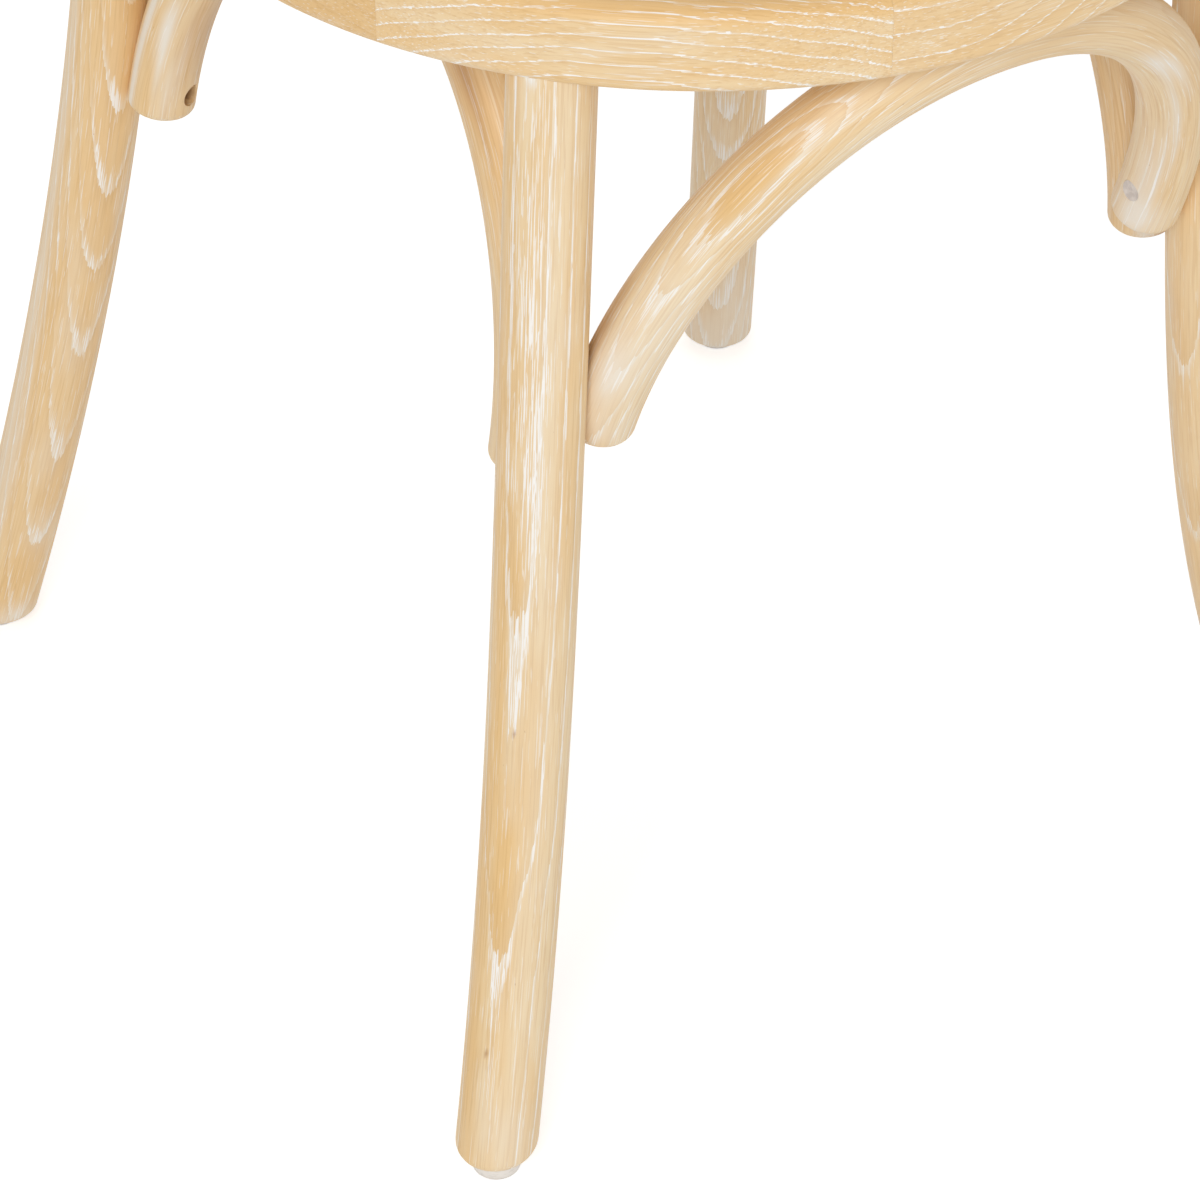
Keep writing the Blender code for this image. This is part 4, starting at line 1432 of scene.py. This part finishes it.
@dataclass
class CaneSeat(SubAssembly):
    """Flat cane strips in a two-over, two-under herringbone, held by a spline."""

    radius: float = 0.1493
    level: float = 0.4590
    strand_pitch: float = 6.6 * MM
    strand_width: float = 6.1 * MM
    strand_thickness: float = 1.5 * MM
    dish: float = 2.0 * MM
    turn_every: float = 8.0
    stiffness: float = 2.2
    clearance: float = 0.4 * MM
    rows: int = 144
    strand_shift: float = 0.02
    weft_shift: float = 0.37
    spline_width: float = 5.5 * MM
    spline_sides: int = 20
    spline_steps: int = 180
    seat_top: float = 0.4632
    proud: float = 0.8 * MM

    def weave_height(self, run: Array, line: Array) -> Array:
        """Height of a warp strip: a flattened sine of run plus a triangle wave of line.

        Args:
            run: Crossings passed along the strip.
            line: Number of the strip.

        Returns:
            Height from -1 to 1.
        """
        period = 2 * self.turn_every
        step = np.abs((line + self.turn_every) % period - self.turn_every)
        wave = np.sin(np.pi / 2 * (run + step) + np.pi / 4)
        return np.tanh(self.stiffness * wave) / math.tanh(self.stiffness)

    def strips(self, warp: bool) -> tuple[Array, Array, Array]:
        """Points of all strips one way, as strips by rows by section points.

        Each strip is a six-sided lens carried along the weave, less the seat's hollow.

        Args:
            warp: True for the strips along Y, False for those along X.

        Returns:
            Points, unbent coordinates and faces.
        """
        count = int(2 * (self.radius - self.strand_width / 2) / self.strand_pitch)
        number = np.arange(count) - (count - 1) / 2
        offset = number * self.strand_pitch
        reach = np.sqrt((self.radius - self.clearance) ** 2
                        - (np.abs(offset) + self.strand_width / 2) ** 2)
        along = np.linspace(-1.0, 1.0, self.rows)[None, :] * reach[:, None]
        lines = np.broadcast_to(number[:, None], along.shape)
        runs = along / self.strand_pitch
        height = self.weave_height(runs, lines) if warp else -self.weave_height(lines, runs)
        half, thick = self.strand_width / 2, self.strand_thickness / 2
        across = np.array((-1.0, -0.62, 0.62, 1.0, 0.62, -0.62)) * half
        crown = np.array((0.0, 1.0, 1.0, 0.0, -1.0, -1.0)) * thick
        centre = height * (thick + 0.05 * MM)
        x = offset[:, None, None] + across[None, None, :] + 0 * along[:, :, None]
        y = along[:, :, None] + 0 * x
        hollow = self.dish * (1 - np.hypot(x, y) ** 2 / self.radius ** 2)
        z = self.level + centre[:, :, None] + crown[None, None, :] - hollow
        points = np.stack((x, y, z) if warp else (y, x, z), axis=-1)
        # Each strip takes its colour and fibres from another part of the pattern.
        shift = lines[:, :, None] * self.strand_shift
        stock = np.stack((across + 0 * x + shift, crown + 0 * x, y), axis=-1)
        sides = len(across)
        starts = (np.arange(count) * self.rows * sides)[:, None, None]
        faces = (grid_faces(self.rows, sides)[None] + starts).reshape(-1, 4)
        return points.reshape(-1, 3), stock.reshape(-1, 3), faces

    def spline(self) -> None:
        """Make the half-round spline, a superellipse swept round the panel's edge."""
        low = self.level + 1.6 * MM
        high = self.seat_top + self.proud
        middle = self.radius - self.spline_width / 2
        sides, steps = self.spline_sides, self.spline_steps
        turn = round_turn(sides)
        wide = signed_power(np.cos(turn), 0.7) * self.spline_width / 2
        tall = signed_power(np.sin(turn), 0.8) * (high - low) / 2
        angles = round_turn(steps)[:, None]
        grid, stock = (
            np.stack([np.broadcast_to(values, (steps, sides)) for values in axes], axis=-1)
            for axes in (((middle + wide) * np.cos(angles), (middle + wide) * np.sin(angles),
                          (low + high) / 2 + tall), (wide, tall, middle * angles)))
        faces = grid_faces(steps + 1, sides) % (steps * sides)
        piece = make_mesh("cane_seat_spline", grid.reshape(-1, 3), faces)
        self.shop.deliver(piece, Look.CANE, "seat_spline", angle=60,
                          stock=stock.reshape(-1, 3))

    def build(self) -> None:
        """Make and dress the woven panel and its spline."""
        first, first_stock, first_faces = self.strips(True)
        second, second_stock, second_faces = self.strips(False)
        faces = np.vstack((first_faces, second_faces + len(first)))
        piece = make_mesh("cane_seat_panel", np.vstack((first, second)), faces)
        self.shop.deliver(piece, Look.CANE, "seat_panel", angle=50,
                          stock=np.vstack((first_stock, second_stock + self.weft_shift)))
        self.spline()


@dataclass
class CrossSlat(SubAssembly):
    """A bent flat slat from low on one side of the hoop to high on the other."""

    hoop: BackHoop
    front: bool
    saw: Saw
    width: float = 30 * MM
    thickness: float = 9 * MM
    ease: float = 2.4 * MM
    foot: float = 0.505
    head: float = 0.820
    pull: float = 0.100
    foot_pull: float = 0.600
    head_pull: float = 0.725
    gap: float = 0.05 * MM
    tenon: float = 9 * MM
    screw_head: float = 3.95 * MM
    sides: int = 48

    def spine(self) -> Spine:
        """Cubic curve in the back's surface, set off it so that the two slats pass.

        Returns:
            The curve.
        """
        low, high = self.hoop.half(np.array([self.foot, self.head]))
        pull = (low + 3 * self.pull - high) / 3
        share = np.linspace(0.0, 1.0, 800)
        weights = np.column_stack(((1 - share) ** 3, 3 * share * (1 - share) ** 2,
                                   3 * share ** 2 * (1 - share), share ** 3))
        x = weights @ np.array((-low, -self.pull, pull, high))
        z = weights @ np.array((self.foot, self.foot_pull, self.head_pull, self.head))
        mirror = -1.0 if self.front else 1.0
        step = (self.thickness / 2 + self.gap) * (1 - np.abs(2 * share - 1) ** 3)
        normal = self.hoop.normal(z)
        points = np.column_stack((mirror * x, self.hoop.depth(z), z))
        points += mirror * step[:, None] * normal
        return Spine.along(points, normal)

    def screw_hole(self, curve: Spine) -> Piece:
        """Make the cutter of the screw's counterbore at the crossing.

        Args:
            curve: The slat's curve.

        Returns:
            The cutter.
        """
        spot = curve.points[np.argmin(np.abs(curve.points[:, 0]))]
        drive = self.hoop.normal(np.array([spot[2]]))[0]
        wall, face = self.screw_head, self.thickness / 2
        outside, floor = -12 * MM, 3 * MM - face
        outline = [(0, outside), (wall + 4 * MM, outside), (wall + 0.3 * MM, -face - 0.1 * MM),
                   (wall, 0.3 * MM - face), (wall, floor), (0, floor)]
        return lathe("slat_bore", outline, 28, spot, drive)

    def build(self) -> None:
        """Make and dress the slat, a rounded rectangle carried along its curve."""
        curve = self.spine()
        inset = self.hoop.radius - self.tenon
        spine = curve.at(np.linspace(inset, curve.arc[-1] - inset, 120))
        turn = round_turn(self.sides) + math.pi / self.sides
        cos, sin = np.cos(turn), np.sin(turn)
        corner_x, corner_y = self.width / 2 - self.ease, self.thickness / 2 - self.ease
        across = np.sign(cos) * corner_x + self.ease * cos
        deep = np.sign(sin) * corner_y + self.ease * sin
        grid = (spine.points[:, None, :] + across[None, :, None] * spine.across[:, None, :]
                + deep[None, :, None] * spine.depth[:, None, :])
        word = "front" if self.front else "rear"
        piece = solid_from_grid(f"ash_cross_slat_{word}", grid)
        if self.front:
            carve(piece, [self.screw_hole(curve)])
        self.shop.deliver(piece, Look.WOOD, f"cross_slat_{word}", angle=35,
                          stock=curve.unbend(piece), saw=self.saw)


@dataclass
class Glide(SubAssembly):
    """A moulded disc under a foot, a little domed, with a soft edge."""

    end: str
    side: Side
    centre: Array
    height: float
    radius: float = 8.85 * MM
    edge: float = 1.8 * MM

    def build(self) -> None:
        """Make and dress the glide."""
        outline = [(0.0, 0.0), (self.radius * 0.5, 0.0)]
        outline += [(self.radius - self.edge * (1 - math.sin(t)), self.edge * (1 - math.cos(t)))
                    for t in np.linspace(0, np.pi / 2, 7)]
        outline += [(self.radius, self.height - 0.6 * MM),
                    (self.radius - 0.4 * MM, self.height), (0.0, self.height)]
        place = np.array((self.centre[0], self.centre[1], 0.0))
        piece = lathe(f"glide_disc_{self.end}_{self.side.word}", outline, 48, place, UP)
        self.shop.deliver(piece, Look.PLASTIC, f"glide_{self.end}_{self.side.word}", angle=50)


@dataclass
class Studio:
    """Plain pale floor, white surroundings, soft lamps and the photograph's camera.

    A lamp is its name, where it hangs, the length of its side and its power in watts.
    """

    seat_y: float
    eye: tuple[float, float, float] = (-0.8682, -1.2368, 1.2385)
    yaw: float = 33.80
    pitch: float = 37.45
    lens: float = 145.90
    daylight: float = 0.48
    floor_colour: str = "#f2f2f2"
    floor_glow: float = 0.50
    floor_half: float = 12.0
    aim: tuple[float, float, float] = (0.0, 0.0, 0.4)
    lamps: tuple[tuple[str, tuple[float, float, float], float, float], ...] = (
        ("key", (-2.2, -2.3, 2.3), 1.4, 51.5), ("fill", (1.8, -2.6, 1.4), 1.8, 11.0),
        ("top", (0.2, 0.4, 3.0), 2.0, 8.0))

    def camera(self) -> None:
        """Set up the camera where the photograph was taken from."""
        data = bpy.data.cameras.new("camera")
        data.lens = self.lens
        data.sensor_width = 36.0
        data.clip_start = 0.05
        camera = bpy.data.objects.new("camera", data)
        camera.location = (self.eye[0], self.eye[1] + self.seat_y, self.eye[2])
        camera.rotation_euler = (math.radians(90 - self.pitch), 0.0, -math.radians(self.yaw))
        bpy.context.scene.collection.objects.link(camera)
        bpy.context.scene.camera = camera

    def lamp(self, name: str, place: Triple, size: float, power: float) -> None:
        """Hang a square area lamp that faces the chair.

        Args:
            name: Name of the lamp.
            place: Where it hangs.
            size: Length of its side.
            power: Power in watts.
        """
        data = bpy.data.lights.new(name, "AREA")
        data.size = size
        data.energy = power
        lamp = bpy.data.objects.new(name, data)
        lamp.location = place
        away = np.array(place, dtype=float) - np.array(self.aim, dtype=float)
        flat = math.hypot(away[0], away[1])
        lamp.rotation_euler = (math.atan2(flat, away[2]), 0.0, math.atan2(away[1], away[0])
                               + math.pi / 2)
        bpy.context.scene.collection.objects.link(lamp)

    def shown_rays(self, tree: Tree) -> Socket:
        """Tell rays that show the surroundings: camera, mirror and glass rays.

        Args:
            tree: Node tree to add to.

        Returns:
            1 for such a ray and 0 for the rest.
        """
        path = add(tree, "LightPath").node.outputs
        both = add(tree, "Math", (path["Is Camera Ray"], path["Is Glossy Ray"]),
                   operation="MAXIMUM")
        return add(tree, "Math", (both, path["Is Transmission Ray"]), operation="MAXIMUM")

    def surroundings(self) -> None:
        """White world where it shows, a plain soft level where it lights the chair."""
        world = bpy.data.worlds.new("white_surroundings")
        world.use_nodes = True
        tree = world.node_tree
        level = add(tree, "MapRange", {0: self.shown_rays(tree), 3: self.daylight, 4: 1.0})
        wire(tree, tree.nodes["Background"], {"Strength": level, "Color": WHITE})
        bpy.context.scene.world = world

    def floor(self) -> None:
        """Wide matt floor that shows white and keeps the chair's soft shadow."""
        material = new_material("studio_floor")
        tree = material.node_tree
        glow = add(tree, "Math", (self.shown_rays(tree), self.floor_glow),
                   operation="MULTIPLY")
        shaded(material, {"Base Color": to_linear(self.floor_colour), "Roughness": 1.0,
                          "Specular IOR Level": 0.0, "Emission Color": WHITE,
                          "Emission Strength": glow})
        half = self.floor_half
        mesh = bpy.data.meshes.new("studio_floor")
        mesh.from_pydata([(-half, -half, 0.0), (half, -half, 0.0), (half, half, 0.0),
                          (-half, half, 0.0)], [], [(0, 1, 2, 3)])
        mesh.materials.append(material)
        floor = bpy.data.objects.new("studio_floor", mesh)
        bpy.context.scene.collection.objects.link(floor)

    def build(self) -> None:
        """Set up the whole studio."""
        bpy.context.scene.view_settings.view_transform = "Standard"
        self.camera()
        self.surroundings()
        self.floor()
        for lamp in self.lamps:
            self.lamp(*lamp)


def dress_nodes(shop: Workshop, nodes: dict[str, Piece]) -> None:
    """Give the small fasteners and the hidden tenons their finishes.

    Args:
        shop: Shared finishes.
        nodes: The frame's nodes by name.
    """
    for name, node in nodes.items():
        if "screw" in name or name.startswith("seat_bolt"):
            look = Look.STEEL
        elif name.startswith("ring_tenon"):
            look = Look.BEECH
        else:
            continue
        node.data.materials.clear()
        node.data.materials.append(shop.finishes[look])


# How each stick was sawn and rubbed, read off the photograph where it shows.  Lengths are in
# mm from the foot of a leg, the first end of a brace or the middle of a ring segment.
NEAR_LEG = Saw(
    -147, Pith.IN_FRONT, 120 * MM, porous=0.8 * MM, waver=0.12 * MM, seed=1,
    base=(-0.1, 0.12, 0.0, 0.12),
    rings=(-27.6, -20.7, -13.8, -6.9, 0.0, 5.7, 8.5, 15.4),
    climb=((0, -1.6), (42, -0.75), (81, 0.0), (107, 1.4), (122, 3.3), (136, 4.4), (175, 5.1),
           (206, 5.7), (222, 5.95), (240, 6.25), (262, 6.6), (300, 6.9), (433, 7.3)),
    patches=(Patch(431, -150, 3.0, 7, film=1.7), Patch(40, -154, 0.9, 2.6, soil_and_shade=1.0),
             Patch(36, -149, 0.6, 2, soil_and_shade=0.8), Patch(173, -144, 0.7, 2.2, soil_and_shade=0.9),
             Patch(345, -147, 95, 33, lime=1.15, film=0.12),
             Patch(265, -131, 40, 15, lime=0.8, film=0.15),
             Patch(60, -150, 20, 11, lime=0.8), Patch(192, -147, 20, 14, lime=0.8),
             Patch(30, -148, 18, 10, lime=0.35), Patch(220, -112, 400, 26, film=0.22),
             Patch(8, -110, 14, 60, film=0.3),
             Patch(200, -178, 260, 20, gold=0.5, film=-0.2, lime=-0.4),
             Patch(300, -97, 120, 15, gold=0.3),
             Patch(120, -148, 30, 14, gold=0.4, lime=-0.5, film=-0.2),
             Patch(238, -148, 16, 8, gold=0.3, lime=-0.5, film=-0.1),
             Patch(150, -120, 40, 20, gold=0.1)))
FRONT_RIGHT_LEG = Saw(-165, Pith.IN_FRONT, 90 * MM, 5.2 * MM, seed=2,
                      climb=((0, 0), (120, 4), (260, 14), (433, 20)),
                      base=(-0.35, 0.3, 0.0, 0.2))
EVEN_RINGS = tuple(3.3 * k for k in range(-12, 30))
REAR_LEFT_LEG = Saw(
    -94, Pith.BEHIND, 90 * MM, porous=0.9 * MM, waver=0.12 * MM, base=(-0.5, 0.55, 0.0, 0.08),
    seed=3, rings=EVEN_RINGS,
    climb=((0, -17.0), (53, -13.2), (98, -9.9), (160, -6.6), (201, -3.3), (239, 0.0),
           (290, 4.2), (433, 13), (1030, 50)),
    patches=(Patch(250, -112, 26, 20, lime=0.5, film=0.1),
             Patch(300, -112, 34, 18, lime=0.55, film=0.1),
             Patch(208, -112, 18, 20, lime=0.45, film=0.15),
             Patch(104, -108, 20, 24, lime=0.4, film=0.35),
             Patch(60, -90, 12, 24, lime=0.4, film=0.5),
             Patch(162, -104, 14, 26, lime=0.4, film=0.3),
             Patch(160, -163, 60, 5, lime=0.7, film=0.3), Patch(6, -95, 9, 50, film=0.8),
             Patch(250, -155, 50, 5, lime=0.6, film=0.2), Patch(70, -160, 60, 12, film=0.5),
             Patch(150, 178, 300, 12, film=0.6), Patch(150, -140, 500, 12, lime=-0.35),
             Patch(296, -82, 10, 6, lime=0.6)))
FAR_LEG = Saw(
    -50, Pith.BEHIND, 50 * MM, porous=1.3 * MM, base=(-0.35, 0.3, 0.04, 0.2), seed=3,
    rings=EVEN_RINGS,
    climb=((0, -10), (40, -6), (90, -3.3), (134, 0.0), (157, 3.3), (200, 6.6), (433, 20),
           (1030, 50)),
    patches=(Patch(12, -50, 26, 80, film=0.7), Patch(50, -75, 24, 30, film=0.5),
             Patch(145, -45, 22, 30, film=0.25, lime=0.2)))
FRONT_BRACE = Saw(
    37, Pith.IN_FRONT, 200 * MM, porous=0.8 * MM, waver=0.15 * MM, base=(-0.35, 0.1, 0.0, 0.16),
    seed=4, rings=(-36, -31, -26, -21.5, -17.5, -14, -11, -8.2, -5.8, -3.6, -1.6, 0.0, 9.0),
    climb=((0, -6.0), (26, -4.4), (68, -2.0), (95, 0.0), (108, 1.0), (118, 1.3), (128, 1.1),
           (144, 0.0), (156, -1.6), (174, -3.9), (212, -6.5), (300, -3.0), (424, -1.0)),
    patches=(Patch(120, 38, 22, 22, lime=-0.4, gold=0.4, film=-0.25),
             Patch(36, 28, 18, 34, lime=0.1, film=1.1),
             Patch(74, 32, 22, 32, lime=0.15, film=0.35),
             Patch(96, 50, 14, 16, lime=0.1, film=0.1), Patch(10, 45, 9, 50, film=0.5),
             Patch(135, 56, 26, 6, lime=0.3, film=0.4), Patch(100, 62, 22, 6, lime=0.3),
             Patch(150, 34, 14, 22, lime=0.3, film=0.3), Patch(60, 80, 30, 24, film=0.4),
             # The soil of this patch is painted shade under the seat ring; taking lime away
             # plains the figure there.
             Patch(320, 60, 110, 400, lime=-0.65, film=-0.1, soil_and_shade=0.05),
             Patch(250, 90, 60, 40, film=0.1), Patch(395, 160, 34, 22, film=0.9, lime=0.3),
             Patch(385, 140, 40, 7, film=0.5, lime=0.6),
             Patch(345, 124, 36, 8, lime=0.5, film=0.9),
             Patch(298, 118, 14, 12, lime=0.7, film=1.0),
             Patch(310, 100, 20, 10, lime=0.4, film=0.8), Patch(414, 150, 10, 50, film=0.8),
             # These soil patches are painted shade: beside the left leg and under the seat ring
             # near the top of the arch.
             Patch(48, -20, 20, 16, soil_and_shade=0.3), Patch(150, -10, 28, 20, soil_and_shade=0.15),
             Patch(270, 20, 50, 40, soil_and_shade=0.12)))
REAR_BRACE = Saw(30, Pith.BEHIND, 50 * MM, 3.4 * MM, seed=5)
LEFT_BRACE = Saw(
    -150, Pith.BEHIND, 80 * MM, 7.0 * MM, waver=0.5 * MM, base=(-0.6, 0.25, 0.0, 0.1), seed=6,
    climb=((0, 0), (140, 5), (330, 5), (437, 5.5)),
    patches=(Patch(388, -122, 16, 11, lime=0.7, film=1.1),
             Patch(404, -130, 20, 7, film=0.9, lime=0.3),
             Patch(420, -150, 18, 9, film=0.6), Patch(405, -80, 45, 8, film=2.4, lime=-0.5),
             # The soil patches below are painted shade: on the shaded back near the rear end, and
             # in the crease under the seat beside the front leg.
             Patch(405, -165, 25, 8, film=0.5), Patch(385, 165, 34, 40, soil_and_shade=0.36),
             Patch(140, -62, 22, 16, soil_and_shade=0.4), Patch(120, -115, 60, 30, gold=0.3),
             Patch(150, -90, 24, 40, soil_and_shade=0.1)))
RIGHT_BRACE = Saw(60, Pith.BEHIND, 60 * MM, 3.4 * MM, seed=7, base=(-0.7, 0.3, 0.05, 0.1),
                  patches=(Patch(6, 150, 6, 20, film=1.5), Patch(6, 182, 4, 9, soil_and_shade=0.8),
                           Patch(60, 160, 30, 16, soil_and_shade=0.3)))
PLAIN_RUB = (-0.2, 0.3, 0.0, 0.1)
RING_SAWS = (
    Saw(90, Pith.BEHIND, 200 * MM, porous=0.5 * MM, waver=0.3 * MM, seed=10,
        rings=(-61, -53, -45, -37, -29.5, -22, -12.4, -4, 4), base=(-0.1, 0.35, 0.0, 0.15),
        climb=((-60, 0), (-38, 1.5), (-20, -1.5), (0, -10), (20, -20), (57, -38)),
        patches=(Patch(-38, -155, 14, 22, lime=0.55),)),
    Saw(60, Pith.BEHIND, 70 * MM, 4.4 * MM, seed=11, base=PLAIN_RUB),
    Saw(95, Pith.IN_FRONT, 60 * MM, 4.0 * MM, seed=12, base=PLAIN_RUB),
    Saw(120, Pith.BEHIND, 50 * MM, 4.4 * MM, seed=13, base=PLAIN_RUB),
    Saw(70, Pith.BEHIND, 80 * MM, 3.8 * MM, seed=14, base=PLAIN_RUB),
    Saw(110, Pith.IN_FRONT, 60 * MM, 4.2 * MM, seed=15, base=PLAIN_RUB),
    Saw(100, Pith.BEHIND, 60 * MM, 6.4 * MM, base=(-0.85, 0.5, 0.08, 0.0), seed=16),
    Saw(128, Pith.BEHIND, 220 * MM, 4.0 * MM, porous=0.45 * MM, waver=0.4 * MM, seed=17,
        base=(0.0, 0.3, 0.0, 0.12), climb=((-90, 2.5), (-20, 0), (30, 0.6), (90, 0))))


def braces(shop: Workshop, legs: dict[Side, FrontLeg], hoop: BackHoop) -> list[ArchedBrace]:
    """The four arched braces between the legs.

    Args:
        shop: Shared finishes.
        legs: Front legs by side.
        hoop: The hoop with the rear legs.

    Returns:
        Front, rear, left and right brace.
    """
    front = tuple(BraceEnd(legs[side], side, height=0.2815, direction=9.8) for side in Side)
    rear = tuple(BraceEnd(hoop, side, height=0.2815, direction=-4.0) for side in Side)
    made = [ArchedBrace(shop, "front", front, (0.0, -0.0523), FRONT_BRACE, filled=True),
            ArchedBrace(shop, "rear", rear, (0.0, -0.018), REAR_BRACE)]
    for side, saw in zip(Side, (LEFT_BRACE, RIGHT_BRACE)):
        ends = (BraceEnd(legs[side], side, height=0.2607, direction=67.6),
                BraceEnd(hoop, side, height=0.2752, direction=-65.0))
        made.append(ArchedBrace(shop, side.word, ends, (side.value * -0.0171, 0.0), saw,
                                arch_power=1.96, skew=-0.054, setback=8.5 * MM))
    return made


def main() -> None:
    """Load the frame, build every sub-assembly in order and report it."""
    logging.basicConfig(level=logging.INFO, format="%(name)s: %(message)s")
    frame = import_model()
    low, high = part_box("seat_panel")
    shop = Workshop((low[1] + high[1]) / 2, {look: look.value[1].build() for look in Look})
    Studio(shop.seat_y).build()

    legs = {side: FrontLeg(shop, side, saw)
            for side, saw in zip(Side, (NEAR_LEG, FRONT_RIGHT_LEG))}
    hoop = BackHoop(shop, (REAR_LEFT_LEG, FAR_LEG))
    slats = [CrossSlat(shop, hoop, True, Saw(80, Pith.BEHIND, 50 * MM, 3.2 * MM, seed=21)),
             CrossSlat(shop, hoop, False, Saw(100, Pith.BEHIND, 55 * MM, 3.4 * MM, seed=22))]
    glides = []
    for side, leg in legs.items():
        glides.append(Glide(shop, "front", side, leg.centre(np.array([leg.foot]))[0], leg.foot))
        glides.append(Glide(shop, "rear", side, hoop.leg_centre(side, np.array([hoop.foot]))[0],
                            hoop.foot))
    for assembly in (*legs.values(), hoop, *(SeatBolt(shop, side, hoop) for side in Side),
                     *braces(shop, legs, hoop), SeatRing(shop, RING_SAWS), CaneSeat(shop),
                     *slats, *glides):
        assembly.build()
    dress_nodes(shop, frame["nodes"])
    LOG.info("%d pieces, %d triangles", len(shop.tally), sum(shop.tally.values()))


if __name__ == "__main__":
    main()
